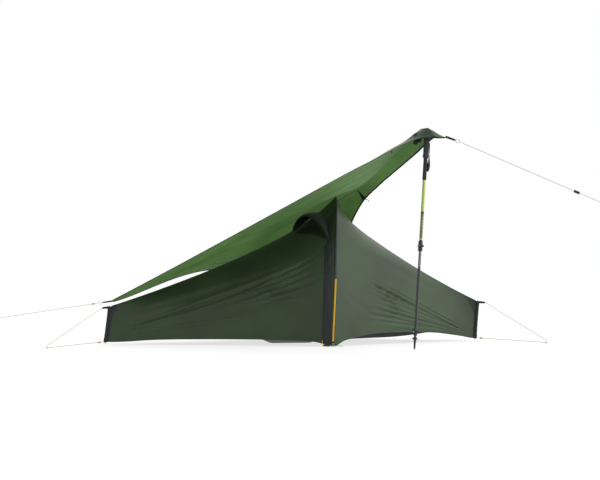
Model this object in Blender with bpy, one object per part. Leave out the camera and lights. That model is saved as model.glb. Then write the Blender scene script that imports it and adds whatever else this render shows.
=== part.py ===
"""A low one-person tent under a three-cornered tarp that is pitched on a trekking pole.

The origin is on the ground, midway between the two end struts. +X runs along the tent
to the right, +Y goes to the back and +Z is up. All sizes are in metres.
"""
import math

import bmesh
import bpy
import numpy as np
from mathutils.bvhtree import BVHTree

# Fits and thicknesses that many pieces share
GAP = 0.0003
CLOTH = 0.0016
WEBBING_GAP = 0.0006
JOINT_TRIM = 0.0006
FLAT_SHARE = math.cos(math.pi / 8)
FRONT = -1
REAR = 1
BINDING_WIDTH = 0.009
BINDING_THICKNESS = 0.003

# Arch pole, its sleeve and the ridge that falls from it to the end struts
ARCH_BASE_X = 0.280
ARCH_TOP_X = 0.320
ARCH_HALF_WIDTH = 0.550
ARCH_HEIGHT = 0.990
ARCH_FOOT_Z = 0.0006
ARCH_STATIONS = 30
POLE_RADIUS = 0.00425
POLE_BORE = 0.0034
FERRULE_BORE = 0.0019
SHOCK_CORD_RADIUS = 0.0012
ARCH_SLEEVE_RADIUS = 0.0095
INSERT_SHARE = 0.5
SLEEVE_START = 0.22
ELASTIC_STEPS = (1.0, 2.0, 2.5)

# Short upright struts at the two ends
STRUT_BOTTOM_Z = 0.006
LEFT_STRUT = {"base_x": -1.280, "top_x": -1.244, "height": 0.266}
RIGHT_STRUT = {"base_x": 1.272, "top_x": 1.294, "height": 0.276}
STRUT_SLEEVE_RADIUS = 0.0120
STRUT_SLEEVE_SHARES = (0.03, 0.5, 0.985)
STRUT_SLEEVE_FLATNESS = 1.7
END_TAB_LENGTH = 0.040
END_TAB_WIDTH = 0.016
END_TAB_THICKNESS = 0.002
END_TAB_SHARE = 0.955
END_TAB_DROP = 0.004
LOW_TIE_SHARE = 0.045

# Fly: straight share and curved share of each ridge, and the height of its hem
RIDGE_LEFT = {"straight": 0.66, "curved": 0.20, "peak_power": 8}
RIDGE_RIGHT = {"straight": 0.66, "curved": 0.20, "peak_power": 20}
HEM_LEFT_Z = 0.042
HEM_RIGHT_Z = 0.070
FLY_FOOT_SHARE = 0.04
FLY_BULGE = 0.10
HEM_FLATNESS = 6
HEM_FADE = 3
FLY_COLUMNS = 17
FLY_ROWS = 11
FOLD_DEPTH = 0.006
FOLD_COUNT = 5
FOLD_CROWDING = 0.8
OUTWARD_TILT = 0.5

# Inner tent: how far it hangs inside the fly, and its tub floor
INNER_SIDE_GAP = 0.100
INNER_TOP_GAP = 0.055
INNER_END_GAP = 0.180
TUB_WALL = 0.095
TUB_FLARE = 0.010
TUB_FLOOR_THICKNESS = 0.0020
TUB_LIFT = 0.040
TUB_END_RISE = 0.004
FLOOR_REST_WIDTH = 0.060
FLOOR_REST_LENGTH = 0.120
FLOOR_REST_REACH = 0.360
INNER_END_WIDTH = 0.020
INNER_BULGE = 0.10
CANOPY_ROWS = 15
CANOPY_ROUNDNESS = 1.05
CANOPY_END_RISE = 0.030

# Door zip beside the arch, its slider and pull, and the flap that covers it
ZIP_OFFSET = 0.060
ZIP_WIDTH = 0.012
ZIP_THICKNESS = 0.0022
ZIP_ROWS = 6
SLIDER_START = 0.022
SLIDER_SIZE = (0.010, 0.0045, 0.014)
PULL_LENGTH = 0.026
PULL_WIDTH = 0.006
PULL_THICKNESS = 0.0016
FLAP_WIDTH = 0.028
FLAP_ROWS = 8

# Vent hood over the top of the door: share along and share up of its two lower corners, how far its
# seam climbs towards the ridge and its rim above the line between the corners, and how far it stands out
HOOD_LEFT = (0.815, 0.86)
HOOD_RIGHT = (0.968, 0.53)
HOOD_SEAM = 0.88
HOOD_SEAM_TOP = 0.985
HOOD_RIM = 0.10
HOOD_CLEAR = 0.0068
HOOD_REACH = 0.075
HOOD_BOW_POWER = 0.7
HOOD_ROWS = 6
HOOD_COLUMNS = 11
HOOD_STEP = 0.001

# Foot straps of the arch and their buckles
STRAP_WIDTH = 0.014
STRAP_THICKNESS = 0.0016
STRAP_TOP_Z = 0.450
BUCKLE_SIZE = (0.024, 0.010, 0.026)
BUCKLE_TOP_Z = 0.034

# Tarp: its corners, the peak over the pole, and how deep its edges are cut
TARP_LEFT = (-1.262, -0.012, 0.288)
TARP_PEAK = (0.850, -1.045, 1.348)
TARP_TIP = (0.962, -1.045, 1.278)
TARP_REAR = (0.350, 1.250, 0.080)
TARP_PEAK_SHARE = 0.945
TARP_RIGHT_CUT = (-0.190, 0.0, 0.225)
TARP_RIGHT_CUT_POWER = 4
TARP_REAR_CUT = (0.050, -0.380, 0.322)
TARP_REAR_CUT_POWER = 1.3
TARP_CLEARANCE = 0.0008
TARP_LIFT_BACK = 0.220
TARP_LIFT_REACH = (0.34, 0.35)
TARP_LIFT_FADE = 8
TARP_LIFT_SHARE = 0.3
TARP_COLUMNS = 34
TARP_ROWS = 18
TARP_ROW_POWER = 1.3
TARP_FOLD_DEPTH = 0.010
TARP_FOLD_COUNT = 5
TARP_START = 0.012
CORNER_TAB_LENGTH = 0.052
CORNER_TAB_WIDTH = 0.018
PEAK_TAB_RISE = 0.028
BINDING_SHARE = 0.2
TARP_END_COLUMNS = 4
TAB_SETBACK = {"peak": 0.0004, "left": 0.0024, "rear": 0.0004}
RING_RADIUS = 0.011
RING_WIRE = 0.002

# Trekking pole: foot and top of its axis, then its parts measured up that axis
TREK_FOOT = (0.755, -1.000, 0.0)
TIP_LENGTH = 0.062
TIP_PROFILE = ((0.0005, 0.002), (0.012, 0.0032), (0.040, 0.0042), (TIP_LENGTH, 0.0056))
BASKET_LOW = 0.064
BASKET_HEIGHT = 0.018
BASKET_RADIUS = 0.019
BASKET_PROFILE = ((0.0, 0.62), (0.3, 1.0), (1.0, 0.5))
LOWER_CLAMP_LOW = 0.090
LOWER_CLAMP_HEIGHT = 0.044
MIDDLE_TOP = 0.760
UPPER_CLAMP_LOW = 0.600
UPPER_CLAMP_HEIGHT = 0.062
LOWER_TOP = 0.500
GRIP_LOW = 1.030
LOWER_TUBE_RADIUS = 0.0060
MIDDLE_TUBE_RADIUS = 0.0072
UPPER_TUBE_RADIUS = 0.0084
TUBE_WALL = 0.0008
TUBE_SIDES = 10
CLAMP_WALL = 0.0042
CLAMP_PROFILE = ((0.0, 0.9), (0.15, 1.0), (0.85, 1.0), (1.0, 0.9))
GRIP_RADIUS = 0.0165
GRIP_LOW_RADIUS = 0.0120
GRIP_FOAM = 0.130
GRIP_FLARE = 1.08
GRIP_SHAPE = ((0.010, GRIP_FLARE), (0.024, 0.92), (0.070, 1.0))
GRIP_SHOULDER = 0.020
GRIP_TOP = 0.72
STRAP_LOOP = ((0.0045, 0.034), (0.006, 0.060), (0.012, 0.110), (0.017, 0.170), (0.016, 0.215), (0.010, 0.236),
              (0.003, 0.226), (0.0, 0.200), (0.0, 0.130), (0.0, 0.050))
GRIP_CROWN = 0.030
CUP_RADIUS = 0.008
CUP_END = 0.999
CUP_STATIONS = 7
BORE_ROOM = 0.0004
TREK_ROW = 1
TREK_COLUMN = -TARP_END_COLUMNS
LEVER_LENGTH = 0.036
LEVER_WIDTH = 0.012
LEVER_THICKNESS = 0.004

# Pegs and guy lines
CORD_DIAMETER = 0.0026
PEG_LENGTH = 0.150
PEG_RADIUS = 0.0035
PEG_SIDES = 6
LEFT_PEG = (-1.594, -0.500)
RIGHT_PEG = (1.683, -0.500)
REAR_PEG = (0.380, 1.560)
LINE_END_LEFT = (-2.050, 0.000, 0.184)
LINE_END_RIGHT = (1.960, -1.100, 0.832)
ADJUSTER_LENGTH = 0.016
ADJUSTER_RADIUS = 0.0055
TENSIONER_LENGTH = 0.034
TENSIONER_RADIUS = 0.0085
CORD_ROOM = 0.0006
CORD_BEND = 0.0070
CORD_TURNS = 9
SEAT_PASSES = 4
PEG_HEAD = 0.012
PEG_LEAN = 0.25
ADJUSTER_START = 0.030
TENSIONER_START = 0.740

COLOURS = {
    "fly_cloth": (0.040, 0.068, 0.042, 0.70, 0.0),
    "tarp_cloth": (0.120, 0.235, 0.070, 0.65, 0.0),
    "inner_cloth": (0.300, 0.300, 0.250, 0.80, 0.0),
    "floor_cloth": (0.010, 0.010, 0.012, 0.60, 0.0),
    "dark_webbing": (0.022, 0.026, 0.030, 0.85, 0.0),
    "yellow_webbing": (0.750, 0.380, 0.020, 0.75, 0.0),
    "pole_metal": (0.500, 0.500, 0.500, 0.35, 1.0),
    "black_plastic": (0.015, 0.016, 0.018, 0.45, 0.0),
    "foam": (0.028, 0.032, 0.036, 0.90, 0.0),
    "lime_paint": (0.620, 0.800, 0.150, 0.40, 0.0),
    "dark_paint": (0.030, 0.034, 0.040, 0.40, 0.0),
    "line_cord": (0.850, 0.800, 0.580, 0.80, 0.0),
    "elastic": (0.700, 0.700, 0.700, 0.80, 0.0),
}


def clear_scene():
    """Remove whatever the scene holds."""
    for item in list(bpy.data.objects):
        bpy.data.objects.remove(item, do_unlink=True)


def material(name):
    """Return the named finish, made on first use."""
    found = bpy.data.materials.get(name)
    if found:
        return found
    red, green, blue, rough, metal = COLOURS[name]
    made = bpy.data.materials.new(name)
    made.use_nodes = True
    shader = made.node_tree.nodes["Principled BSDF"]
    shader.inputs["Base Color"].default_value = (red, green, blue, 1.0)
    shader.inputs["Roughness"].default_value = rough
    shader.inputs["Metallic"].default_value = metal
    return made


def unit(vector):
    """Scale vectors, along the last axis, to length one."""
    vector = np.asarray(vector, float)
    return vector / np.maximum(np.linalg.norm(vector, axis=-1, keepdims=True), 1e-12)


def add_object(name, vertices, faces, finish, origin=(0.0, 0.0, 0.0), smooth=40.0):
    """Make one closed mesh object whose own origin is at the given point."""
    origin = np.asarray(origin, float)
    mesh = bpy.data.meshes.new(name)
    mesh.from_pydata((np.asarray(vertices, float) - origin).tolist(), [], faces)
    work = bmesh.new()
    work.from_mesh(mesh)
    bmesh.ops.recalc_face_normals(work, faces=work.faces)
    work.to_mesh(mesh)
    work.free()
    mesh.shade_smooth()
    mesh.set_sharp_from_angle(angle=math.radians(smooth))
    item = bpy.data.objects.new(name, mesh)
    item.location = origin
    bpy.context.scene.collection.objects.link(item)
    mesh.materials.append(material(finish))
    return item


def grid_solid(name, outer, inner, finish, origin=(0.0, 0.0, 0.0)):
    """Close the space between two grids of points, each shaped rows x columns x 3."""
    rows, columns = outer.shape[:2]
    count = rows * columns
    vertices = np.concatenate([outer.reshape(-1, 3), inner.reshape(-1, 3)])
    faces = []
    for row in range(rows - 1):
        for column in range(columns - 1):
            a = row * columns + column
            for half in ((a, a + 1, a + columns + 1), (a, a + columns + 1, a + columns)):
                faces.append(half)
                faces.append(tuple(count + k for k in reversed(half)))
    rim = [column for column in range(columns)]
    rim += [row * columns + columns - 1 for row in range(1, rows)]
    rim += [(rows - 1) * columns + column for column in range(columns - 2, -1, -1)]
    rim += [row * columns for row in range(rows - 2, 0, -1)]
    for here, after in zip(rim, rim[1:] + rim[:1]):
        faces.append((here, count + here, count + after, after))
    return add_object(name, vertices, faces, finish, origin)


def sheet_normals(points):
    """Unit normals of a grid of points, from the steps along its two directions."""
    along = np.gradient(points, axis=0)
    across = np.gradient(points, axis=1)
    return unit(np.cross(across, along))


def sweep(name, path, radius, finish, sides=8, bore=0.0, wide=1.0, blind=False, origin=(0.0, 0.0, 0.0),
          side=(1.0, 0.0, 0.0)):
    """Carry a round section along a path. bore is its hole, and wide stretches it along side.

    A blind bore stops one station before the path's end.
    """
    path = np.asarray(path, float)
    tangent = unit(np.gradient(path, axis=0))
    first = unit(np.asarray(side) - tangent * (tangent @ np.asarray(side, float))[:, None])
    second = np.cross(tangent, first)
    turn = np.linspace(0, 2 * math.pi, sides, endpoint=False) + math.pi / sides
    radii = np.broadcast_to(np.asarray(radius, float), (len(path),))

    def rings(size, stretch):
        ring = stretch * np.cos(turn)[None, :, None] * first[:, None, :]
        ring = ring + np.sin(turn)[None, :, None] * second[:, None, :]
        return path[:, None, :] + size[:, None, None] * ring

    outer = rings(radii, wide).reshape(-1, 3)
    depth = len(path) - 1 if blind else len(path)
    layers = [(0, len(path))]
    vertices = outer
    if bore:
        hole = rings(np.full(len(path), bore), 1.0)[:depth].reshape(-1, 3)
        vertices = np.concatenate([outer, hole])
        layers.append((len(outer), depth))
    faces = []
    for start, count in layers:
        for ring in range(count - 1):
            for corner in range(sides):
                a = start + ring * sides + corner
                b = start + ring * sides + (corner + 1) % sides
                faces.append((a, b, b + sides, a + sides))
    last = (len(path) - 1) * sides
    for corner in range(sides if bore else 0):
        after = (corner + 1) % sides
        faces.append((corner, after, len(outer) + after, len(outer) + corner))
        if not blind:
            faces.append((last + corner, last + after, len(outer) + last + after, len(outer) + last + corner))
    if not bore:
        faces.append(tuple(range(sides)))
    if blind or not bore:
        faces.append(tuple(range(last, last + sides)))
    if blind:
        floor = len(outer) + (depth - 1) * sides
        faces.append(tuple(range(floor, floor + sides)))
    return add_object(name, vertices, faces, finish, origin)


def ribbon(name, path, across, width, thickness, finish, origin=(0.0, 0.0, 0.0)):
    """Carry a flat strap along a path. across points over its width, at one or all points."""
    path = np.asarray(path, float)
    tangent = unit(np.gradient(path, axis=0))
    across = unit(np.broadcast_to(np.asarray(across, float), path.shape))
    facing = unit(np.cross(tangent, across))
    left = path - across * width / 2
    right = path + across * width / 2
    middle = np.stack([left, right], axis=1)
    lift = facing[:, None, :] * thickness / 2
    return grid_solid(name, middle + lift, middle - lift, finish, origin)


def block(name, centre, size, finish, axes=None, origin=None):
    """Make a box with its sides along three given directions, its edges slightly bevelled."""
    axes = np.eye(3) if axes is None else np.asarray(axes, float)
    half = np.asarray(size, float) / 2
    corners = [(i, j, k) for i in (-1, 1) for j in (-1, 1) for k in (-1, 1)]
    vertices = [np.asarray(centre) + (np.asarray(corner) * half) @ axes for corner in corners]
    faces = [(0, 1, 3, 2), (4, 6, 7, 5), (0, 4, 5, 1), (2, 3, 7, 6), (0, 2, 6, 4), (1, 5, 7, 3)]
    item = add_object(name, vertices, faces, finish, centre if origin is None else origin)
    bevel = item.modifiers.new("edges", "BEVEL")
    bevel.width = min(size) * 0.18
    bevel.segments = 1
    return item


def cord(name, points, finish="line_cord", diameter=CORD_DIAMETER):
    """Make a round cord along a hand-chosen route."""
    curve = bpy.data.curves.new(name, "CURVE")
    curve.dimensions = "3D"
    curve.bevel_depth = diameter / 2
    curve.bevel_resolution = 2
    curve.use_fill_caps = True
    spline = curve.splines.new("POLY")
    spline.points.add(len(points) - 1)
    for point, place in zip(spline.points, points):
        point.co = (*place, 1.0)
    item = bpy.data.objects.new(name, curve)
    curve.materials.append(material(finish))
    bpy.context.scene.collection.objects.link(item)
    return item


def torus(name, centre, ring_radius, wire, normal, finish, turns=14, sides=6):
    """Make a ring whose hole looks along normal."""
    normal = unit(normal)
    reference = (0.0, 0.0, 1.0) if abs(normal[2]) < 0.9 else (1.0, 0.0, 0.0)
    first = unit(np.cross(normal, reference))
    second = np.cross(normal, first)
    angle = np.linspace(0, 2 * math.pi, turns, endpoint=False)
    around = np.linspace(0, 2 * math.pi, sides, endpoint=False)
    spoke = np.cos(angle)[:, None] * first + np.sin(angle)[:, None] * second
    reach = ring_radius + wire * np.cos(around)
    points = np.asarray(centre) + spoke[:, None, :] * reach[None, :, None]
    points = points + normal * (wire * np.sin(around))[None, :, None]
    faces = []
    for turn in range(turns):
        for corner in range(sides):
            a = turn * sides + corner
            b = turn * sides + (corner + 1) % sides
            c = (turn + 1) % turns * sides
            faces.append((a, b, c + (corner + 1) % sides, c + corner))
    return add_object(name, points.reshape(-1, 3), faces, finish, centre)


def arch_line(angle, grow=0.0):
    """Points of the arch's centre line. Angle 0 is the front foot and pi is the rear foot."""
    angle = np.asarray(angle, float)
    lift = np.sin(angle)
    x = ARCH_BASE_X + (ARCH_TOP_X - ARCH_BASE_X) * lift
    y = -(ARCH_HALF_WIDTH + grow) * np.cos(angle)
    z = ARCH_FOOT_Z + (ARCH_HEIGHT + grow - ARCH_FOOT_Z) * lift
    return np.stack([x, y, z], axis=-1)


def strut_line(strut, share):
    """Points up a strut's centre line, from share 0 at its foot to share 1 at its top."""
    share = np.asarray(share, float)
    x = strut["base_x"] + (strut["top_x"] - strut["base_x"]) * share
    z = STRUT_BOTTOM_Z + (strut["height"] - STRUT_BOTTOM_Z) * share
    return np.stack([x, np.zeros_like(share), z], axis=-1)


def ridge_rise(share, shape):
    """How far the ridge has risen at a share of the way from strut to arch."""
    straight, curved = shape["straight"], shape["curved"]
    return (1 - straight - curved) * share ** shape["peak_power"] + straight * share + curved * share ** 2


def tent_section(side, along, up, inset=0.0, drop=0.0, low=None):
    """Point of a tent skin. along runs strut to arch, up runs hem to ridge, y is unsigned."""
    strut, shape, hem = (
        (LEFT_STRUT, RIDGE_LEFT, HEM_LEFT_Z) if side < 0 else (RIGHT_STRUT, RIDGE_RIGHT, HEM_RIGHT_Z)
    )
    foot = strut_line(strut, FLY_FOOT_SHARE + (1 - FLY_FOOT_SHARE) * up)
    arch = arch_line(math.pi / 2 * up)
    start = foot[..., 0] - side * (STRUT_SLEEVE_RADIUS * FLAT_SHARE + WEBBING_GAP)
    stop = arch[..., 0] + side * (ARCH_SLEEVE_RADIUS * FLAT_SHARE + WEBBING_GAP)
    x = start + (stop - start) * along
    hem_rise = hem * (1 - np.abs(2 * along - 1) ** HEM_FLATNESS) * (1 - up) ** HEM_FADE
    z = foot[..., 2] + (arch[..., 2] - foot[..., 2]) * ridge_rise(along, shape) + hem_rise - drop * up
    y = (-arch[..., 1] - inset) * along * (1 - FLY_BULGE + FLY_BULGE * along)
    if low is not None:
        z = low + (z - z[0:1]) * (z[-1:] - low) / (z[-1:] - z[0:1])
    return np.stack([x, y, z], axis=-1)


def fly_columns(side, face):
    """Shares along a fly panel. The door's panel has extra columns under its zip and flap."""
    shares = np.linspace(0, 1, FLY_COLUMNS)
    if side < 0 and face == FRONT:
        length = ARCH_TOP_X - LEFT_STRUT["top_x"]
        marks = (ZIP_OFFSET + ZIP_WIDTH / 2, ZIP_OFFSET - ZIP_WIDTH / 2, FLAP_WIDTH + ZIP_WIDTH, ZIP_WIDTH)
        extra = [1 - mark / length for mark in marks]
        shares = np.concatenate([shares[:-1], extra, shares[-1:]])
    return shares


def fly_grid(side, face, thickness=CLOTH):
    """Outer and inner points of one fly panel, and its outward normals."""
    up, along = np.meshgrid(np.linspace(0, 1, FLY_ROWS), fly_columns(side, face), indexing="ij")
    points = tent_section(side, along, up)
    points[..., 1] += GAP / 2 + thickness * (1 - along) ** 2
    points[..., 1] *= face
    normals = sheet_normals(points)
    facing = np.sign(np.sum(normals * np.array([0.0, face, OUTWARD_TILT])))
    normals = normals * facing
    window = np.sin(math.pi * along) ** 2 * np.sin(math.pi * up)
    fold = FOLD_DEPTH * np.cos(2 * math.pi * FOLD_COUNT * up ** FOLD_CROWDING) * window
    outer = points + normals * fold[..., None]
    inner = outer - normals * thickness
    inner[..., 1] = face * np.maximum(face * inner[..., 1], GAP / 2)
    inner[:, [0, -1], 0] = outer[:, [0, -1], 0]
    return outer, inner, normals


def make_fly():
    """Make the four panels of the outer tent, which meet at the ridge, arch and struts."""
    for side, side_name in ((-1, "left"), (1, "right")):
        for face, face_name in ((FRONT, "front"), (REAR, "rear")):
            outer, inner, _ = fly_grid(side, face)
            grid_solid(f"fly_{face_name}_{side_name}", outer, inner, "fly_cloth")


def inner_half_width(x):
    """Half the inner tent's width at each place along the tent."""
    side = np.where(x < ARCH_BASE_X, -1.0, 1.0)
    end = np.where(side < 0, LEFT_STRUT["base_x"] + INNER_END_GAP, RIGHT_STRUT["base_x"] - INNER_END_GAP)
    share = (x - end) / (ARCH_BASE_X - end)
    widest = ARCH_HALF_WIDTH - INNER_SIDE_GAP - INNER_END_WIDTH
    return INNER_END_WIDTH + widest * share * (1 - INNER_BULGE + INNER_BULGE * share)


def inner_stations():
    """Places along the tent where the inner tent's sections are drawn."""
    left = np.linspace(LEFT_STRUT["base_x"] + INNER_END_GAP, ARCH_BASE_X, 9)
    right = np.linspace(ARCH_BASE_X, RIGHT_STRUT["base_x"] - INNER_END_GAP, 7)
    return np.concatenate([left, right[1:]])


def ridge_height(x):
    """Height of the fly's ridge over a place along the tent."""
    left_share = (x - LEFT_STRUT["top_x"]) / (ARCH_TOP_X - LEFT_STRUT["top_x"])
    right_share = (RIGHT_STRUT["top_x"] - x) / (RIGHT_STRUT["top_x"] - ARCH_TOP_X)
    left = LEFT_STRUT["height"] + (ARCH_HEIGHT - LEFT_STRUT["height"]) * ridge_rise(
        np.clip(left_share, 0, 1), RIDGE_LEFT
    )
    right = RIGHT_STRUT["height"] + (ARCH_HEIGHT - RIGHT_STRUT["height"]) * ridge_rise(
        np.clip(right_share, 0, 1), RIDGE_RIGHT
    )
    return np.where(x < ARCH_TOP_X, left, right)


def make_inner():
    """Make the tub floor, turned up at its two ends, and the inner canopy that stands on it.

    Both hang from the arch. The floor is pulled a few centimetres up all round, as under the taut fly,
    and sags onto the ground in the middle.
    """
    x = inner_stations()
    half = inner_half_width(x)
    ends = np.zeros(len(x))
    ends[[0, -1]] = TUB_WALL - 2 * TUB_FLOOR_THICKNESS
    flare = half + TUB_FLARE
    wall = np.full(len(x), TUB_LIFT + TUB_WALL)
    share = np.where(x < ARCH_BASE_X, x / x[0], x / x[-1])
    end_rise = TUB_END_RISE * np.clip(share, 0, 1) ** 2 + ends
    floor = TUB_LIFT + end_rise
    away = np.clip((np.abs(x) - FLOOR_REST_LENGTH) / (FLOOR_REST_REACH - FLOOR_REST_LENGTH), 0, 1)
    middle = TUB_LIFT * away + end_rise
    rest = np.minimum(FLOOR_REST_WIDTH, half / 2)

    def tub(thickness):
        rows = [(-flare + thickness, wall), (-half + thickness, floor + thickness), (-rest, middle + thickness)]
        rows += [(rest, middle + thickness), (half - thickness, floor + thickness), (flare - thickness, wall)]
        return np.stack([np.stack([x, y, z], axis=-1) for y, z in rows])

    grid_solid("groundsheet", tub(0.0), tub(TUB_FLOOR_THICKNESS), "floor_cloth")

    angle = np.linspace(0, math.pi, CANOPY_ROWS)
    bottom = TUB_LIFT + TUB_WALL + GAP
    peak = np.maximum(ridge_height(x) - INNER_TOP_GAP, bottom + CANOPY_END_RISE)

    def canopy(thickness):
        y = -np.cos(angle)[:, None] * (flare - thickness)
        z = bottom + np.sin(angle)[:, None] ** CANOPY_ROUNDNESS * (peak - thickness - bottom)
        return np.stack([np.broadcast_to(x, y.shape), y, z], axis=-1)

    grid_solid("inner_canopy", canopy(0.0), canopy(CLOTH), "inner_cloth")
    crown = np.interp(ARCH_TOP_X, x, peak)
    hang = [(ARCH_TOP_X, 0.0, crown + END_TAB_THICKNESS / 2 + WEBBING_GAP),
            (ARCH_TOP_X, 0.0, ARCH_HEIGHT - ARCH_SLEEVE_RADIUS - WEBBING_GAP)]
    ribbon("inner_hanger", hang, (0.0, 1.0, 0.0), STRAP_WIDTH, END_TAB_THICKNESS, "dark_webbing")


def make_arch():
    """Make the jointed arch pole with its ferrules, tips and elastic, and the sleeve on it."""
    line = arch_line(np.linspace(0, math.pi, ARCH_STATIONS + 1))
    third = ARCH_STATIONS // 3
    insert = POLE_BORE - GAP / FLAT_SHARE
    for number, name in ((0, "front"), (2, "rear")):
        part = line[number * third:(number + 1) * third + 1].copy()
        sweep(f"arch_pole_{name}", part, POLE_RADIUS, "pole_metal", bore=POLE_BORE)
    middle = line[third:2 * third + 1]
    stations = []
    radii = []
    for end, inward, outward in ((0, middle[1], line[third - 1]), (-1, middle[-2], line[2 * third + 1])):
        shoulder = middle[end] + unit(inward - middle[end]) * JOINT_TRIM
        step = shoulder + unit(inward - middle[end]) * JOINT_TRIM
        tip = middle[end] + (outward - middle[end]) * INSERT_SHARE
        stations.append([tip, middle[end], shoulder, step][::1 if end == 0 else -1])
        radii.append([insert, insert, insert, POLE_RADIUS][::1 if end == 0 else -1])
    path = np.concatenate([stations[0], middle[1:-1], stations[1]])
    sizes = radii[0] + [POLE_RADIUS] * (len(middle) - 2) + radii[1]
    sweep("arch_pole_middle", path, sizes, "pole_metal", bore=FERRULE_BORE)
    elastic = line.copy()
    knots = []
    for end, inward in ((0, 1), (-1, -2)):
        way = unit(line[inward] - line[end])
        knots.append([line[end] + way * step * POLE_RADIUS for step in ELASTIC_STEPS])
    elastic = np.concatenate([knots[0], elastic[1:-1], knots[1][::-1]])
    cord_sizes = np.full(len(elastic), SHOCK_CORD_RADIUS)
    cord_sizes[[0, 1, -2, -1]] = insert
    sweep("arch_shock_cord", elastic, cord_sizes, "elastic")
    sleeve = line.copy()
    sleeve[0] += (line[1] - line[0]) * SLEEVE_START
    sleeve[-1] += (line[-2] - line[-1]) * SLEEVE_START
    bore = POLE_RADIUS + GAP / FLAT_SHARE
    sweep("arch_sleeve", sleeve, ARCH_SLEEVE_RADIUS, "dark_webbing", bore=bore)


def make_struts():
    """Make each end strut, the sleeve round it and the webbing tab at its top."""
    for strut, side, name in ((LEFT_STRUT, -1, "left"), (RIGHT_STRUT, 1, "right")):
        rod = strut_line(strut, [0.0, 1.0])
        sweep(f"strut_{name}", rod, POLE_RADIUS, "pole_metal")
        sleeve = strut_line(strut, STRUT_SLEEVE_SHARES)
        flat = POLE_RADIUS * STRUT_SLEEVE_FLATNESS
        sweep(f"strut_sleeve_{name}", sleeve, flat, "dark_webbing", bore=POLE_RADIUS + GAP / FLAT_SHARE,
              wide=STRUT_SLEEVE_RADIUS / flat)
        start = strut_line(strut, [END_TAB_SHARE])[0]
        start[0] += side * (STRUT_SLEEVE_RADIUS * FLAT_SHARE + GAP)
        stop = start + (side * END_TAB_LENGTH, 0.0, -END_TAB_DROP)
        ribbon(f"end_tab_{name}", [start, (start + stop) / 2, stop], rod[1] - rod[0], END_TAB_WIDTH,
               END_TAB_THICKNESS, "dark_webbing")


def make_door():
    """Make the door's zip, its slider and pull, the flap beside it and the vent hood above."""
    outer, _, normals = fly_grid(-1, FRONT)
    zip_start = FLY_COLUMNS - 1

    def strip(name, first, rows, thickness, finish):
        points = outer[:rows, first:first + 2]
        facing = normals[:rows, first:first + 2]
        grid_solid(name, points + facing * (GAP + thickness), points + facing * GAP, finish)

    strip("door_zip", zip_start, ZIP_ROWS, ZIP_THICKNESS, "black_plastic")
    strip("storm_flap", zip_start + 2, FLAP_ROWS, CLOTH, "fly_cloth")

    centre = outer[:2, zip_start:zip_start + 2].mean(axis=1)
    rise = unit(centre[1] - centre[0])
    across = unit(outer[0, zip_start + 1] - outer[0, zip_start])
    out = unit(np.cross(rise, across))
    out = out * np.sign(out @ (0.0, FRONT, 0.0))
    wide, deep, tall = SLIDER_SIZE
    stand_off = GAP + ZIP_THICKNESS + WEBBING_GAP
    seat = centre[0] + rise * SLIDER_START + out * (stand_off + deep / 2)
    frame = np.stack([unit(np.cross(out, rise)), out, rise])
    block("zip_slider", seat, (wide, deep, tall), "black_plastic", frame)
    pivot = seat + out * (deep / 2 + GAP + PULL_THICKNESS / 2)
    block("zip_pull", pivot - rise * PULL_LENGTH / 2, (PULL_WIDTH, PULL_THICKNESS, PULL_LENGTH),
          "yellow_webbing", frame, origin=pivot)


def make_hood():
    """Make the stiffened hood that stands out of the fly over the top of the door."""
    fall, step = np.meshgrid(np.linspace(0, 1, HOOD_ROWS), np.linspace(0, 1, HOOD_COLUMNS), indexing="ij")
    along = HOOD_LEFT[0] + (HOOD_RIGHT[0] - HOOD_LEFT[0]) * step
    base = HOOD_LEFT[1] + (HOOD_RIGHT[1] - HOOD_LEFT[1]) * step
    bow = np.maximum(np.sin(math.pi * step), 0.0) ** HOOD_BOW_POWER
    seam = base + (HOOD_SEAM_TOP - base) * bow * HOOD_SEAM
    up = seam + (base + HOOD_RIM * bow - seam) * fall
    points = tent_section(-1, along, up)
    points[..., 1] *= FRONT
    wide = tent_section(-1, along + HOOD_STEP, up) - tent_section(-1, along - HOOD_STEP, up)
    tall = tent_section(-1, along, up + HOOD_STEP) - tent_section(-1, along, up - HOOD_STEP)
    normals = unit(np.cross(wide, tall))
    normals = normals * np.sign(np.sum(normals * np.array([0.0, 1.0, OUTWARD_TILT]), axis=-1, keepdims=True))
    normals[..., 1] *= FRONT
    reach = HOOD_CLEAR + HOOD_REACH * bow * np.sin(math.pi / 2 * fall)
    outer = points + normals * (reach + CLOTH)[..., None]
    inner = points + normals * reach[..., None]
    grid_solid("vent_hood", outer, inner, "fly_cloth")


def make_foot_straps():
    """Make the tension strap down the front and back of the arch, and its buckle at the foot."""
    for face, name in ((FRONT, "front"), (REAR, "rear")):
        top = math.asin((STRAP_TOP_Z - ARCH_FOOT_Z) / (ARCH_HEIGHT - ARCH_FOOT_Z))
        low = math.asin((BUCKLE_TOP_Z - ARCH_FOOT_Z) / (ARCH_HEIGHT - ARCH_FOOT_Z))
        angle = np.linspace(top, low, 9)
        stand_off = ARCH_SLEEVE_RADIUS * FLAT_SHARE + STRAP_THICKNESS / 2 + WEBBING_GAP
        path = arch_line(angle, stand_off)
        path[:, 1] *= -face
        path[-1, 2] = BUCKLE_TOP_Z + GAP
        ribbon(f"foot_strap_{name}", path, (1.0, 0.0, 0.0), STRAP_WIDTH, STRAP_THICKNESS, "yellow_webbing")
        wide, deep, tall = BUCKLE_SIZE
        seat = face * (ARCH_HALF_WIDTH + ARCH_SLEEVE_RADIUS * FLAT_SHARE + WEBBING_GAP + deep / 2)
        block(f"foot_buckle_{name}", (ARCH_BASE_X, seat, BUCKLE_TOP_Z - tall / 2), BUCKLE_SIZE, "black_plastic")


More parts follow.
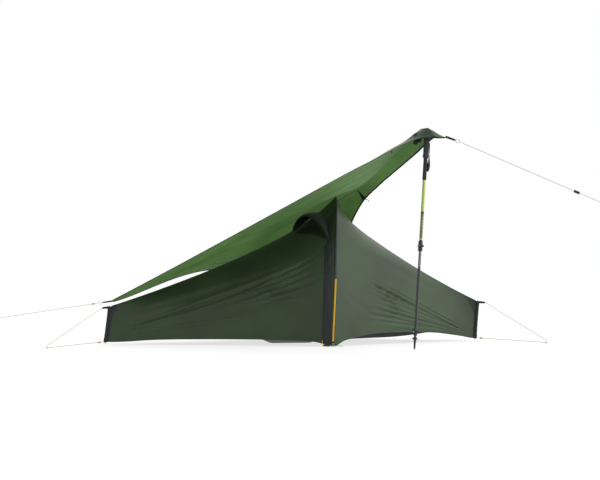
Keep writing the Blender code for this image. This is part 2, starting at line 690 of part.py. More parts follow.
def tarp_shares():
    """Shares of the tarp's length, with one column exactly at its peak."""
    before = np.linspace(TARP_START, TARP_PEAK_SHARE, TARP_COLUMNS - TARP_END_COLUMNS)
    after = np.linspace(TARP_PEAK_SHARE, 1.0, TARP_END_COLUMNS + 1)
    return np.concatenate([before, after[1:]])


def tarp_surface(lift):
    """Middle surface of the tarp, raised by lift over the arch. Rows run front to rear, columns outward."""
    left, peak, tip, rear = (np.asarray(c) for c in (TARP_LEFT, TARP_PEAK, TARP_TIP, TARP_REAR))
    row, share = np.meshgrid(np.linspace(0, 1, TARP_ROWS) ** TARP_ROW_POWER, tarp_shares(), indexing="ij")
    u = share[..., None]
    v = row[..., None]
    climb = np.clip(u / TARP_PEAK_SHARE, 0, 1)
    past = np.clip((u - TARP_PEAK_SHARE) / (1 - TARP_PEAK_SHARE), 0, 1)
    front = left + (peak - left) * climb + (tip - peak) * past
    back_cut = np.sin(math.pi * u) ** TARP_REAR_CUT_POWER * np.asarray(TARP_REAR_CUT)
    back = left + (rear - left) * u + back_cut
    right_cut = np.sin(math.pi * v) * np.asarray(TARP_RIGHT_CUT)
    points = front * (1 - v) + back * v + u ** TARP_RIGHT_CUT_POWER * right_cut
    away_x = (points[..., 0] - ARCH_TOP_X) / TARP_LIFT_REACH[0]
    away_y = (points[..., 1] - TARP_LIFT_BACK) / TARP_LIFT_REACH[1]
    window = np.sin(math.pi * share) * np.sin(math.pi * row) ** 2
    points[..., 2] += TARP_FOLD_DEPTH * np.cos(2 * math.pi * TARP_FOLD_COUNT * row) * window
    points[..., 2] += lift * np.exp(-away_x ** 2 - away_y ** 2) * (1 - share ** TARP_LIFT_FADE)
    return points


def tarp_lift():
    """The least lift that carries the tarp's underside clear of the arch's sleeve."""
    count = TARP_ROWS * len(tarp_shares())
    index = np.arange(count).reshape(TARP_ROWS, -1)
    corners = np.stack([index[:-1, :-1], index[:-1, 1:], index[1:, 1:], index[1:, :-1]], axis=-1).reshape(-1, 4)
    halves = np.concatenate([corners[:, [0, 1, 2]], corners[:, [0, 2, 3]]]).tolist()
    flat, raised = (
        BVHTree.FromPolygons(tarp_surface(lift).reshape(-1, 3).tolist(), halves) for lift in (0.0, 1.0)
    )
    angles = np.linspace(0, math.pi, ARCH_STATIONS * 8 + 1)
    crest = arch_line(angles, ARCH_SLEEVE_RADIUS)
    needed = 0.0
    for offset in (-ARCH_SLEEVE_RADIUS, 0.0, ARCH_SLEEVE_RADIUS):
        for x, y, z in crest + (offset, 0.0, -abs(offset) / 2):
            low = flat.ray_cast((x, y, -1.0), (0.0, 0.0, 1.0))[0]
            high = raised.ray_cast((x, y, -1.0), (0.0, 0.0, 1.0))[0]
            if low is not None and high is not None and high.z - low.z > TARP_LIFT_SHARE:
                needed = max(needed, (z + CLOTH / 2 + TARP_CLEARANCE - low.z) / (high.z - low.z))
    return needed


def tarp_grid():
    """Middle surface of the tarp and its upward normals."""
    points = tarp_surface(tarp_lift())
    normals = sheet_normals(points)
    return points, normals * np.sign(np.sum(normals[..., 2]))


def edge_frames(points, normals, edge):
    """Points along one edge of the tarp, the direction out of the cloth and the cloth's normals."""
    last, inside, facing = {
        "front": (points[0], points[1], normals[0]),
        "rear": (points[-1], points[-2], normals[-1]),
        "right": (points[:, -1], points[:, -2], normals[:, -1]),
    }[edge]
    along = unit(np.gradient(last, axis=0))
    out = unit(last - inside)
    out = unit(out - along * np.sum(out * along, axis=-1, keepdims=True))
    facing = unit(np.cross(along, out))
    facing = facing * np.sign(facing[:, 2:3])
    return last, out, facing


def corner_tab(name, place, way):
    """Make a corner's webbing tab, and a ring at its end but at the rear. Returns where the line ties on."""
    way = unit(way)
    start = np.asarray(place) + way * (GAP + TAB_SETBACK[name])
    stop = start + way * CORNER_TAB_LENGTH
    across = unit(np.cross(way, (0.0, 0.0, 1.0)))
    ribbon(f"tarp_tab_{name}", [start, (start + stop) / 2, stop], across, CORNER_TAB_WIDTH, END_TAB_THICKNESS,
           "dark_webbing")
    if name == "rear":
        return stop
    centre = stop + way * (RING_RADIUS + RING_WIRE + GAP)
    torus(f"tarp_ring_{name}", centre, RING_RADIUS, RING_WIRE, across, "pole_metal")
    return centre + way * (RING_RADIUS + RING_WIRE)


def make_tarp():
    """Make the tarp, the binding on its three edges, its corner tabs and rings."""
    points, normals = tarp_grid()
    lift = normals * CLOTH / 2
    grid_solid("tarp", points + lift, points - lift, "tarp_cloth")
    for edge in ("front", "rear", "right"):
        place, out, facing = edge_frames(points, normals, edge)
        trim = slice(1, -1)
        near = place + out * (GAP + CLOTH * BINDING_SHARE)
        far = near + out * BINDING_WIDTH
        band = np.stack([near, far], axis=1)[trim]
        thick = facing[trim, None, :] * BINDING_THICKNESS / 2
        grid_solid(f"tarp_binding_{edge}", band + thick, band - thick, "dark_webbing")
    ends = {}
    corners = {
        "peak": (points[0, -1], np.asarray(TARP_TIP) - np.asarray(TARP_PEAK) + (0.0, 0.0, PEAK_TAB_RISE)),
        "left": (points[:, 0].mean(axis=0), np.asarray(LINE_END_LEFT) - np.asarray(TARP_LEFT)),
        "rear": (points[-1, -1], np.asarray((*REAR_PEG, 0.0)) - np.asarray(TARP_REAR)),
    }
    for name, (place, way) in corners.items():
        ends[name] = corner_tab(name, place, way)
    return points, normals, ends


def trek_point(height, foot, axis):
    """Point on the trekking pole's axis at a height measured along it."""
    return foot + axis * height


def make_trekking_pole(points, normals):
    """Make the trekking pole: tip, basket, three telescoping tubes, two clamps, grip and strap."""
    under = points[TREK_ROW, TREK_COLUMN] - normals[TREK_ROW, TREK_COLUMN] * (CLOTH / 2 + GAP + CUP_RADIUS)
    foot = np.asarray(TREK_FOOT)
    axis = unit(under - foot)
    length = float(np.linalg.norm(under - foot)) - CUP_RADIUS - GAP
    side = unit(np.array([1.0, 0.0, 0.0]) - axis * axis[0])

    def piece(name, stations, finish, sides=TUBE_SIDES, bore=0.0, blind=False):
        heights, radii = zip(*stations)
        line = [trek_point(h, foot, axis) for h in heights]
        return sweep(name, line, radii, finish, sides, bore, blind=blind, side=side, origin=line[0])

    reach = np.linspace(-CUP_END, CUP_END, CUP_STATIONS)
    cup = [(length + GAP + CUP_RADIUS * (1 + r), CUP_RADIUS * math.sqrt(1 - r * r)) for r in reach]
    piece("tarp_pole_cup", cup, "black_plastic", sides=8)
    piece("pole_tip", TIP_PROFILE, "black_plastic")
    tube = [(TIP_LENGTH + GAP, LOWER_TUBE_RADIUS), (LOWER_TOP, LOWER_TUBE_RADIUS)]
    piece("pole_lower_shaft", tube, "dark_paint", bore=LOWER_TUBE_RADIUS - TUBE_WALL)
    skirt = [(BASKET_LOW + BASKET_HEIGHT * rise, BASKET_RADIUS * share) for rise, share in BASKET_PROFILE]
    piece("pole_basket", skirt, "black_plastic", sides=12, bore=LOWER_TUBE_RADIUS + BORE_ROOM)
    tube = [(LOWER_CLAMP_LOW + TUBE_WALL, MIDDLE_TUBE_RADIUS), (MIDDLE_TOP, MIDDLE_TUBE_RADIUS)]
    piece("pole_middle_shaft", tube, "dark_paint", bore=LOWER_TUBE_RADIUS + BORE_ROOM)
    tube = [(UPPER_CLAMP_LOW + TUBE_WALL, UPPER_TUBE_RADIUS), (length - GRIP_CROWN, UPPER_TUBE_RADIUS)]
    piece("pole_upper_shaft", tube, "lime_paint", bore=MIDDLE_TUBE_RADIUS + BORE_ROOM)
    levers = {}
    for name, low, tall, radius in (
        ("lower", LOWER_CLAMP_LOW, LOWER_CLAMP_HEIGHT, MIDDLE_TUBE_RADIUS),
        ("upper", UPPER_CLAMP_LOW, UPPER_CLAMP_HEIGHT, UPPER_TUBE_RADIUS),
    ):
        wall = radius + CLAMP_WALL
        body = [(low + tall * rise, wall * share) for rise, share in CLAMP_PROFILE]
        piece(f"pole_{name}_clamp", body, "black_plastic", bore=radius + BORE_ROOM)
        out = np.array([0.0, -1.0, 0.0])
        middle = trek_point(low + tall / 2, foot, axis) + out * (wall + GAP + LEVER_THICKNESS / 2)
        pivot = middle - side * LEVER_LENGTH / 2
        block(f"pole_{name}_lever", middle, (LEVER_LENGTH, LEVER_THICKNESS, LEVER_WIDTH), "black_plastic",
              np.stack([side, out, axis]), origin=pivot)
        levers[name] = pivot
    flare = GRIP_LOW + GRIP_FOAM
    body = [(GRIP_LOW, GRIP_LOW_RADIUS), (flare, GRIP_LOW_RADIUS)]
    body += [(flare + rise, GRIP_RADIUS * share) for rise, share in GRIP_SHAPE]
    body += [(length - GRIP_SHOULDER, GRIP_RADIUS), (length, GRIP_RADIUS * GRIP_TOP)]
    piece("pole_grip", body, "foam", bore=UPPER_TUBE_RADIUS + BORE_ROOM, blind=True)

    inner = GRIP_RADIUS * GRIP_FLARE * math.cos(math.pi / TUBE_SIDES) + STRAP_THICKNESS / 2 + WEBBING_GAP
    outline = [(inner + reach, length - fall) for reach, fall in STRAP_LOOP]
    anchor = trek_point(outline[0][1], foot, axis) + side * outline[0][0]
    line = [trek_point(along, foot, axis) + side * across for across, along in outline]
    ribbon("wrist_strap", line, (0.0, 1.0, 0.0), STRAP_WIDTH, STRAP_THICKNESS, "dark_webbing", origin=anchor)


def around(high, corner, low):
    """Route of a cord from high to low that turns at corner on an arc of CORD_BEND radius."""
    first, second = unit(high - corner), unit(low - corner)
    half = math.acos(float(np.clip(first @ second, -1, 1))) / 2
    middle = unit(first + second)
    centre = corner + middle * CORD_BEND / math.sin(half)
    outward = unit(np.cross(np.cross(middle, first), middle))
    turn = np.linspace(math.pi / 2 - half, half - math.pi / 2, CORD_TURNS)
    arc = [centre + CORD_BEND * (outward * math.sin(a) - middle * math.cos(a)) for a in turn]
    return [high, *arc, low]


def make_guys(ends):
    """Make the guy lines, what slides on them and the pegs that hold them."""
    rest = 2 * PEG_RADIUS + CORD_DIAMETER / 2 + GAP
    for strut, side, peg, name in ((LEFT_STRUT, -1, LEFT_PEG, "left"), (RIGHT_STRUT, 1, RIGHT_PEG, "right")):
        seat = side * (STRUT_SLEEVE_RADIUS * FLAT_SHARE + GAP)
        reach = seat + side * (END_TAB_LENGTH + GAP + CORD_DIAMETER / 2)
        high = strut_line(strut, END_TAB_SHARE) + (reach, 0.0, -END_TAB_DROP)
        low = strut_line(strut, LOW_TIE_SHARE) + (seat + side * CORD_DIAMETER, 0.0, 0.0)
        corner = np.array([*peg, rest])
        for _ in range(SEAT_PASSES):
            corner[2] += rest - min(point[2] for point in around(high, corner, low)[1:-1])
        route = around(high, corner, low)
        lowest = min(route[1:-1], key=lambda point: point[2])
        cord(f"guy_{name}", route)
        way = unit(corner - low)
        start = low + way * ADJUSTER_START
        sweep(f"adjuster_{name}", [start, start + way * ADJUSTER_LENGTH], ADJUSTER_RADIUS, "yellow_webbing",
              bore=CORD_DIAMETER / 2 + CORD_ROOM, side=(0.0, 0.0, 1.0), origin=start)
        away = unit(np.array([side * PEG_LEAN, 1.0, 0.0]))
        head = np.array([lowest[0], lowest[1], PEG_RADIUS])
        shank = [head - away * PEG_HEAD, head + away * PEG_LENGTH]
        sweep(f"peg_{name}", shank, PEG_RADIUS, "pole_metal", sides=PEG_SIDES)
    long_lines = (("left", LINE_END_LEFT, "adjuster_tarp"), ("right", LINE_END_RIGHT, "line_tensioner"))
    for name, stop, part in long_lines:
        start = ends["peak" if name == "right" else name]
        way = unit(np.asarray(stop) - start)
        begin = start + way * GAP
        cord(f"tarp_guy_{name}", [begin, begin + (stop - begin) / 3, begin + (stop - begin) * 2 / 3, stop])
        if name == "left":
            low = begin + way * ADJUSTER_START
            size = (ADJUSTER_LENGTH, ADJUSTER_RADIUS, "yellow_webbing")
        else:
            low = begin + way * TENSIONER_START
            size = (TENSIONER_LENGTH, TENSIONER_RADIUS, "black_plastic")
        sweep(part, [low, low + way * size[0]], size[1], size[2], bore=CORD_DIAMETER / 2 + CORD_ROOM,
              side=(0.0, 0.0, 1.0), origin=low)
    corner = np.array([*REAR_PEG, rest])
    begin = ends["rear"] + unit(corner - ends["rear"]) * GAP
    cord("tarp_guy_rear", [begin, (begin + corner) / 2, corner])
    head = np.array([*REAR_PEG, PEG_RADIUS])
    shank = [head - (0.0, PEG_HEAD, 0.0), head + (0.0, PEG_LENGTH, 0.0)]
    sweep("peg_rear", shank, PEG_RADIUS, "pole_metal", sides=PEG_SIDES)


def main():
    """Build the whole tent."""
    clear_scene()
    make_arch()
    make_struts()
    make_fly()
    make_inner()
    make_door()
    make_hood()
    make_foot_straps()
    points, normals, ends = make_tarp()
    make_trekking_pole(points, normals)
    make_guys(ends)


main()
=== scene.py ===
"""Looks of a low one-person tent under a three-cornered tarp pitched on a trekking pole.

Every length is in metres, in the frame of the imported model: the origin is on the ground midway
between the two end struts, +X runs along the tent to its right end, +Y to the back and +Z up.
"""
import logging
import math
from dataclasses import dataclass, field
from enum import Enum

import bpy
import numpy as np
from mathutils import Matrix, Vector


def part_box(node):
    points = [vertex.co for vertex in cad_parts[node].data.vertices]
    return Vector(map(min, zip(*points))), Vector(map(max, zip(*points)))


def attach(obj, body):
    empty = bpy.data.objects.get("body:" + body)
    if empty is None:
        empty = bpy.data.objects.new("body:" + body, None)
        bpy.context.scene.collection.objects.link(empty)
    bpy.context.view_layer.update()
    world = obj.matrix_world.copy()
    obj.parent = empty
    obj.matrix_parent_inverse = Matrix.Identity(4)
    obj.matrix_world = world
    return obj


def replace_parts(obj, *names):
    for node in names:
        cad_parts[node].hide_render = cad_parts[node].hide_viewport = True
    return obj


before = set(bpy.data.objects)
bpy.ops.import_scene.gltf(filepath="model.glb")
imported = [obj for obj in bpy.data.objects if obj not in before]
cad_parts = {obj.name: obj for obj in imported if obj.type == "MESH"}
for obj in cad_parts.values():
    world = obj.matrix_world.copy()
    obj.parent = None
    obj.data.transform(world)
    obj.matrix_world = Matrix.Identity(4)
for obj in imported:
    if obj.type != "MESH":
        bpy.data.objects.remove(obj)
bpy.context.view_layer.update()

LOG = logging.getLogger("tent")
TENT = "tent"
MM_PER_METRE = 1000.0
# Directions in the shared frame.
RIGHT, BACK, UP = (1.0, 0.0, 0.0), (0.0, 1.0, 0.0), (0.0, 0.0, 1.0)
# The least area of a sheet, as a share of its flat length times its width.
LEAST_AREA = 0.301
Array = np.ndarray
Point = tuple[float, float, float]
Share = tuple[float, float]
Node = bpy.types.Node
Object = bpy.types.Object
Socket = bpy.types.NodeSocket
Tree = bpy.types.NodeTree


def linear(code: str) -> tuple[float, float, float, float]:
    """Turn an sRGB hex colour into linear values.

    Each channel c over 0.04045 becomes ((c + 0.055) / 1.055) to the power 2.4, else c / 12.92.

    Args:
        code: six hex digits after a hash sign.

    Returns:
        Linear red, green, blue and an alpha of 1.
    """
    channels = [int(code[k:k + 2], 16) / 255 for k in (1, 3, 5)]
    red, green, blue = (((c + 0.055) / 1.055) ** 2.4 if c > 0.04045 else c / 12.92 for c in channels)
    return red, green, blue, 1.0


def feed(tree: Tree, node: Node, inputs: dict) -> None:
    """Give inputs of a node their values or links.

    Args:
        tree: the node tree.
        node: one of its nodes.
        inputs: input name or number to the output socket or the value that it takes.
    """
    for key, value in inputs.items():
        if isinstance(value, Socket):
            tree.links.new(value, node.inputs[key])
        else:
            node.inputs[key].default_value = value


def add_node(tree: Tree, kind: str, inputs: dict | None = None, **settings) -> Node:
    """Add a node with its settings, values and links.

    Args:
        tree: the node tree.
        kind: the node's type name after ShaderNode.
        inputs: as feed() takes them.
        settings: attributes of the node itself.

    Returns:
        The new node.
    """
    node = tree.nodes.new(f"ShaderNode{kind}")
    for key, value in settings.items():
        setattr(node, key, value)
    feed(tree, node, inputs or {})
    return node


def calculate(tree: Tree, operation: str, *values: Socket | float) -> Socket:
    """Return the result of one step of arithmetic on sockets or numbers."""
    return add_node(tree, "Math", dict(enumerate(values)), operation=operation).outputs[0]


class Space(Enum):
    """Which coordinates a pattern reads."""

    OBJECT = "Object"
    CLOTH = "UV"


@dataclass
class Pattern:
    """A material's node tree, with short ways to build up what its shader shows.

    Attributes:
        tree: the node tree.
        shader: its Principled shader.
    """

    tree: Tree
    shader: Node

    def set(self, **inputs: Socket | float | tuple) -> None:
        """Give inputs of the shader their values or links, by their names with _ for a space."""
        feed(self.tree, self.shader, {key.replace("_", " "): value for key, value in inputs.items()})

    def place(self, space: Space) -> Socket:
        """Return the coordinates, in metres, that a pattern reads."""
        return add_node(self.tree, "TexCoord").outputs[space.value]

    def axes(self, vector: Socket) -> tuple[Socket, Socket]:
        """Return the first two numbers of a vector."""
        apart = add_node(self.tree, "SeparateXYZ", {0: vector})
        return apart.outputs[0], apart.outputs[1]

    def calculate(self, operation: str, *values: Socket | float) -> Socket:
        """Return the result of one step of arithmetic on sockets or numbers."""
        return calculate(self.tree, operation, *values)

    def noise(self, place: Socket, scale: float, detail: float) -> Socket:
        """Return clouds from 0 to 1 that are about 1 / scale metres apart."""
        node = add_node(self.tree, "TexNoise", {"Vector": place, "Scale": scale, "Detail": detail})
        return node.outputs["Fac"]

    def mapped(self, value: Socket, span: Share, onto: Share = (0.0, 1.0)) -> Socket:
        """Return a value moved evenly from one span onto another, and kept inside it."""
        return add_node(self.tree, "MapRange", {"Value": value, "From Min": span[0], "From Max": span[1],
                                                "To Min": onto[0], "To Max": onto[1]}).outputs[0]

    def tinted(self, factor: Socket, low: str, high: str, span: Share) -> Socket:
        """Return a colour that runs from low to high as the factor crosses the span."""
        node = add_node(self.tree, "ValToRGB", {"Fac": factor})
        for stop, position, colour in zip(node.color_ramp.elements, span, (low, high)):
            stop.position = position
            stop.color = linear(colour)
        return node.outputs["Color"]

    def mixed(self, factor: Socket, under: Socket, over: str) -> Socket:
        """Return a colour that changes to over as the factor rises from 0 to 1."""
        return add_node(self.tree, "Mix", {0: factor, 6: under, 7: linear(over)}, data_type="RGBA").outputs[2]

    def bump(self, height: Socket, depth: float, strength: float) -> None:
        """Let a height pattern, in units of depth metres, tilt the shader's normal."""
        node = add_node(self.tree, "Bump", {"Height": height, "Distance": depth, "Strength": strength})
        normal = self.shader.inputs["Normal"]
        if normal.is_linked:
            feed(self.tree, node, {"Normal": normal.links[0].from_socket})
        self.set(Normal=node.outputs["Normal"])


@dataclass(frozen=True)
class Finish:
    """A named surface with a Principled shader, whose look() adds its pattern.

    Attributes:
        name: the material's name.
        colour: sRGB hex colour of the plain surface.
        roughness: 0 is a mirror and 1 is chalk.
        slot: the record's material slot; not used.
        metallic: 1 for bare metal.
        shade: sRGB hex colour where the surface is darker.
    """

    name: str
    colour: str
    roughness: float
    slot: str
    metallic: float = 0.0
    shade: str = "#0A0A0A"

    def material(self) -> bpy.types.Material:
        """Return the material, made on first use."""
        found = bpy.data.materials.get(self.name)
        if found:
            return found
        made = bpy.data.materials.new(self.name)
        made.use_nodes = True
        pattern = Pattern(made.node_tree, made.node_tree.nodes["Principled BSDF"])
        pattern.set(Base_Color=linear(self.colour), Roughness=self.roughness, Metallic=self.metallic)
        self.look(pattern)
        return made

    def look(self, pattern: Pattern) -> None:
        """Add the pattern of the plain finish, which has none."""


@dataclass(frozen=True)
class RipstopNylon(Finish):
    """Coated ripstop nylon, woven thin and calendered.

    The eye sees soft colour drifts where it is stretched, a faint square grid of thicker threads,
    and a low sheen on the slopes that face the light.

    Attributes:
        drifts: colour drifts to the metre, each about 450 mm long.
        grid_mm: distance between the thicker threads, drawn coarser than the real 5 mm to show.
        thread_share: width of a thicker thread as a share of that distance.
        thread_tint: how far the threads take the shade.
        sheen: weight of the soft edge gloss.
        painted_glow: strength of a painted glow, an emission in the cloth's own colour, that stands for the
            light crossing the cloth to its lee side.
        waves: the cloth's small waves to the metre, each about 38 mm long and 1.2 mm deep.
        ripple: strength of these waves, which the painted glow washes out.
    """

    drifts: float = 2.2
    grid_mm: float = 8.0
    thread_share: float = 0.16
    thread_tint: float = 0.22
    sheen: float = 0.15
    painted_glow: float = 0.0
    waves: float = 26.0
    ripple: float = 0.35

    def look(self, pattern: Pattern) -> None:
        """Add drifting colour, the ripstop grid in cells of grid_mm, 0.15 mm deep, and the small waves."""
        cloth = pattern.place(Space.CLOTH)
        drift = pattern.noise(cloth, self.drifts, 5.0)
        plain = pattern.tinted(drift, self.shade, self.colour, (0.32, 0.62))
        cells = MM_PER_METRE / self.grid_mm
        scaled = add_node(pattern.tree, "VectorMath", {0: cloth, 1: (cells,) * 3}, operation="MULTIPLY")
        part = add_node(pattern.tree, "VectorMath", {0: scaled.outputs[0]}, operation="FRACTION")
        nearest = pattern.calculate("MINIMUM", *pattern.axes(part.outputs[0]))
        thread = pattern.mapped(nearest, (0.0, self.thread_share), (1.0, 0.0))
        woven = pattern.mixed(pattern.calculate("MULTIPLY", thread, self.thread_tint), plain, self.shade)
        pattern.bump(thread, 0.00015, 0.5)
        pattern.bump(pattern.noise(cloth, self.waves, 3.0), 0.0012, self.ripple)
        pattern.set(Base_Color=woven, Sheen_Weight=self.sheen, Sheen_Roughness=0.5, IOR=1.45)
        # Painted glow: the cloth emits its own colour, standing for light that crosses it.
        if self.painted_glow:
            pattern.set(Emission_Color=woven, Emission_Strength=self.painted_glow)


@dataclass(frozen=True)
class WovenTape(Finish):
    """Polyester or nylon tape woven in ribs across its width; the ribs are painted light and the grooves
    between them painted shade, as fine bars.

    Attributes:
        rib_mm: distance between ribs.
    """

    rib_mm: float = 2.4

    def look(self, pattern: Pattern) -> None:
        """Add ribs 0.3 mm deep that run across the tape, every rib_mm along it by its UV map, with painted
        shade in the grooves.
        """
        along, _ = pattern.axes(pattern.place(Space.CLOTH))
        turns = pattern.calculate("MULTIPLY", along, 2 * math.pi * MM_PER_METRE / self.rib_mm)
        level = pattern.mapped(pattern.calculate("SINE", turns), (-1.0, 1.0))
        # Painted shade: the colour darkens where the rib's height is low, in the grooves.
        pattern.set(Base_Color=pattern.tinted(level, self.shade, self.colour, (0.1, 0.7)))
        pattern.bump(level, 0.0003, 0.6)


@dataclass(frozen=True)
class BraidedLine(Finish):
    """Braided cord: crossing strands that spiral round it, pale, with painted shade in the gaps between them.

    Attributes:
        pitch_mm: length of one strand's turn along the cord.
    """

    pitch_mm: float = 7.0

    def look(self, pattern: Pattern) -> None:
        """Add two crossing spirals, from the length along and the turn round the cord in its UV map."""
        length, turn = pattern.axes(pattern.place(Space.CLOTH))
        along = pattern.calculate("MULTIPLY", length, 2 * math.pi * MM_PER_METRE / self.pitch_mm)
        waves = [pattern.calculate("SINE", pattern.calculate("MULTIPLY_ADD", turn, way * 4 * math.pi, along))
                 for way in (1.0, -1.0)]
        both = pattern.calculate("MAXIMUM", *waves)
        # Painted shade: the colour darkens where the spirals are low, in the gaps between strands.
        pattern.set(Base_Color=pattern.tinted(both, self.shade, self.colour, (0.0, 0.6)))
        pattern.bump(both, 0.0003, 0.6)


@dataclass(frozen=True)
class Tube(Finish):
    """Drawn aluminium tube, anodised or enamelled: faint lines along it, and scuffs where it slides.

    Attributes:
        gloss: coat weight of the enamel.
    """

    gloss: float = 0.0

    def look(self, pattern: Pattern) -> None:
        """Add streaks about 3 mm wide and 170 mm long, and scuffs of about 17 mm."""
        place = pattern.place(Space.OBJECT)
        drawn = add_node(pattern.tree, "Mapping", {"Vector": place, "Scale": (300.0, 300.0, 6.0)}).outputs[0]
        streak = pattern.noise(drawn, 1.0, 2.0)
        rough = pattern.mapped(pattern.noise(place, 60.0, 4.0), (0.3, 0.7),
                               (self.roughness * 0.75, self.roughness * 1.3))
        pattern.set(Base_Color=pattern.tinted(streak, self.shade, self.colour, (0.30, 0.52)), Roughness=rough,
                    Coat_Weight=self.gloss, Coat_Roughness=0.12)


@dataclass(frozen=True)
class BarredTube(Tube):
    """Enamelled tube with printed slanted bars, which from afar mix to a tone between their colours.

    Attributes:
        bar: sRGB hex colour of the bars.
        bar_mm: distance between bars along the tube.
        bar_share: width of a bar as a share of that distance.
    """

    bar: str = "#000000"
    bar_mm: float = 9.0
    bar_share: float = 0.45

    def look(self, pattern: Pattern) -> None:
        """Print a bar where along / bar_mm plus the turn round the tube, less its whole part, is low."""
        super().look(pattern)
        under = pattern.shader.inputs["Base Color"].links[0].from_socket
        length, turn = pattern.axes(pattern.place(Space.CLOTH))
        along = pattern.calculate("MULTIPLY", length, MM_PER_METRE / self.bar_mm)
        part = pattern.calculate("FRACT", pattern.calculate("ADD", along, turn))
        bars = pattern.calculate("LESS_THAN", part, self.bar_share)
        pattern.set(Base_Color=pattern.mixed(bars, under, self.bar))


@dataclass(frozen=True)
class Moulded(Finish):
    """Injection-moulded nylon or foam with a fine grain in its skin.

    Attributes:
        grain_mm: size of the grain.
        relief: its depth in metres.
    """

    grain_mm: float = 0.8
    relief: float = 0.0001

    def look(self, pattern: Pattern) -> None:
        """Add the grain, of grain_mm, and a slow change of tone where hands rub it, every 22 mm or so."""
        place = pattern.place(Space.OBJECT)
        grain = pattern.noise(place, MM_PER_METRE / self.grain_mm, 2.0)
        wear = pattern.noise(place, 45.0, 3.0)
        pattern.set(Base_Color=pattern.tinted(wear, self.shade, self.colour, (0.25, 0.7)))
        pattern.bump(grain, self.relief, 0.6)


# Outer tent: thin coated ripstop in olive green, nearly matt, darker in its folds.
FLY = RipstopNylon("fly_ripstop", "#3A5033", 0.55, "fly_cloth", shade="#26361D", sheen=0.1)
# Doubled cloth of sleeve, patches and flap: grey-black, which frames the green. The hood takes it too, as
# painted shade for the tarp's shadow on it.
FLY_DARK_AND_HOOD_SHADE = RipstopNylon("fly_patch_and_hood_shade", "#232B2C", 0.6, "fly_cloth", shade="#14191B", sheen=0.1)
# Tarp from above: a greyer green that shines softly towards the light.
TARP_TOP = RipstopNylon("tarp_outside", "#4E6A48", 0.5, "tarp_cloth", shade="#3C5238", sheen=0.25)
# Tarp from below: the same cloth, painted a fresher green and given a painted glow of its own, which stand for
# the light that passes through it.
TARP_UNDER_GLOW = RipstopNylon("tarp_underside_painted_glow", "#577B42", 0.65, "tarp_cloth", shade="#426232", sheen=0.05,
                          painted_glow=0.5, ripple=0.06)
# Mesh of the vent and cord in its rim: dark green, painted shade that stands for the shadow under the hood.
VENT_SHADE = RipstopNylon("vent_painted_shade", "#1E2A1A", 0.7, "fly_cloth", shade="#141C10", sheen=0.02)
# Doubled cloth at the tarp's peak: a shade darker than the cloth round it.
TARP_PATCH = RipstopNylon("tarp_patch", "#3E5440", 0.55, "tarp_cloth", shade="#30422F", sheen=0.2)
# Inner tent: dark breathable nylon, matt, seen only through gaps.
INNER = RipstopNylon("inner_nylon", "#2C2E2A", 0.8, "inner_cloth", shade="#202220")
# Tub floor: black coated nylon with a dull shine.
FLOOR = RipstopNylon("floor_nylon", "#141517", 0.5, "floor_cloth", shade="#0C0D0E")
# Webbing and binding tape: grey-black, ribbed and matt.
DARK_TAPE = WovenTape("dark_tape", "#262C32", 0.8, "dark_webbing", shade="#14181C")
# Tension straps, zip pull and cord ends: warm yellow webbing, the brightest parts of the tent.
YELLOW_TAPE = WovenTape("yellow_strap", "#FFD038", 0.6, "yellow_webbing", shade="#F0AA18")
# Guy lines: straw-coloured cord, with painted shade between its strands.
LINE = BraidedLine("pale_line", "#B5A35C", 0.75, "line_cord", shade="#98864A")
# The part of the right guy line that is yellow.
YELLOW_LINE = BraidedLine("yellow_line", "#F0C040", 0.75, "line_cord", shade="#C08A18")
# Rods of arch and struts: anodised aluminium, a blurred mirror.
ANODISED = Tube("anodised_tube", "#A8ACB0", 0.35, "pole_aluminium", metallic=1.0, shade="#909498")
# Upper tube of the pole: lime enamel whose clear coat draws a thin highlight.
LIME = Tube("lime_enamel", "#CBE35A", 0.35, "lime_paint", shade="#B4CC48", gloss=0.5)
# Lower tube and dark lengths: near-black enamel, half matt.
DARK_ENAMEL = Tube("dark_enamel", "#26292D", 0.45, "dark_paint", shade="#1A1D20", gloss=0.1)
# Length of the middle tube that slides out: grey metal.
GREY_TUBE = Tube("grey_tube", "#6C7076", 0.32, "dark_paint", metallic=0.6, shade="#585C62")
# Thin rings round the upper tube: paler enamel.
LIME_PALE = Tube("pale_lime_enamel", "#DDE870", 0.35, "lime_paint", shade="#C8D458", gloss=0.5)
# Printed length of the upper tube: dark enamel under lime bars.
BARRED = BarredTube("barred_enamel", "#33383C", 0.35, "dark_paint", shade="#2A2E32", gloss=0.4, bar="#A8B850")
# Rings, pegs and the pole's tip: polished steel.
STEEL = Tube("steel_wire", "#B8BABC", 0.25, "ring_steel", metallic=1.0, shade="#9C9EA0")
# Handle: soft rubber with a pebbled skin.
RUBBER = Moulded("handle_rubber", "#2A2D31", 0.7, "grip_foam", grain_mm=1.0, relief=0.0002, shade="#1E2124")
# Clamps, levers, buckles and basket: moulded black nylon, half matt.
BLACK_NYLON = Moulded("black_nylon", "#1E2022", 0.45, "black_plastic")
# Sleeve below the handle: foam with open pores, fully matt.
FOAM = Moulded("grip_foam_skin", "#34383C", 0.85, "grip_foam", grain_mm=1.4, relief=0.0003, shade="#24282C")
# Line adjusters: moulded yellow nylon.
YELLOW_NYLON = Moulded("yellow_nylon", "#E8B020", 0.5, "yellow_plastic", shade="#D09818")


def unit(vectors: Array) -> Array:
    """Return the vectors at length 1."""
    vectors = np.asarray(vectors, float)
    return vectors / np.maximum(np.linalg.norm(vectors, axis=-1, keepdims=True), 1e-12)


def blend_lines(low: Array, high: Array, share: Array | float) -> Array:
    """Return low + (high - low) * share, with the share spread over the three coordinates."""
    low, high = np.asarray(low, float), np.asarray(high, float)
    return low + (high - low) * np.asarray(share)[..., None]


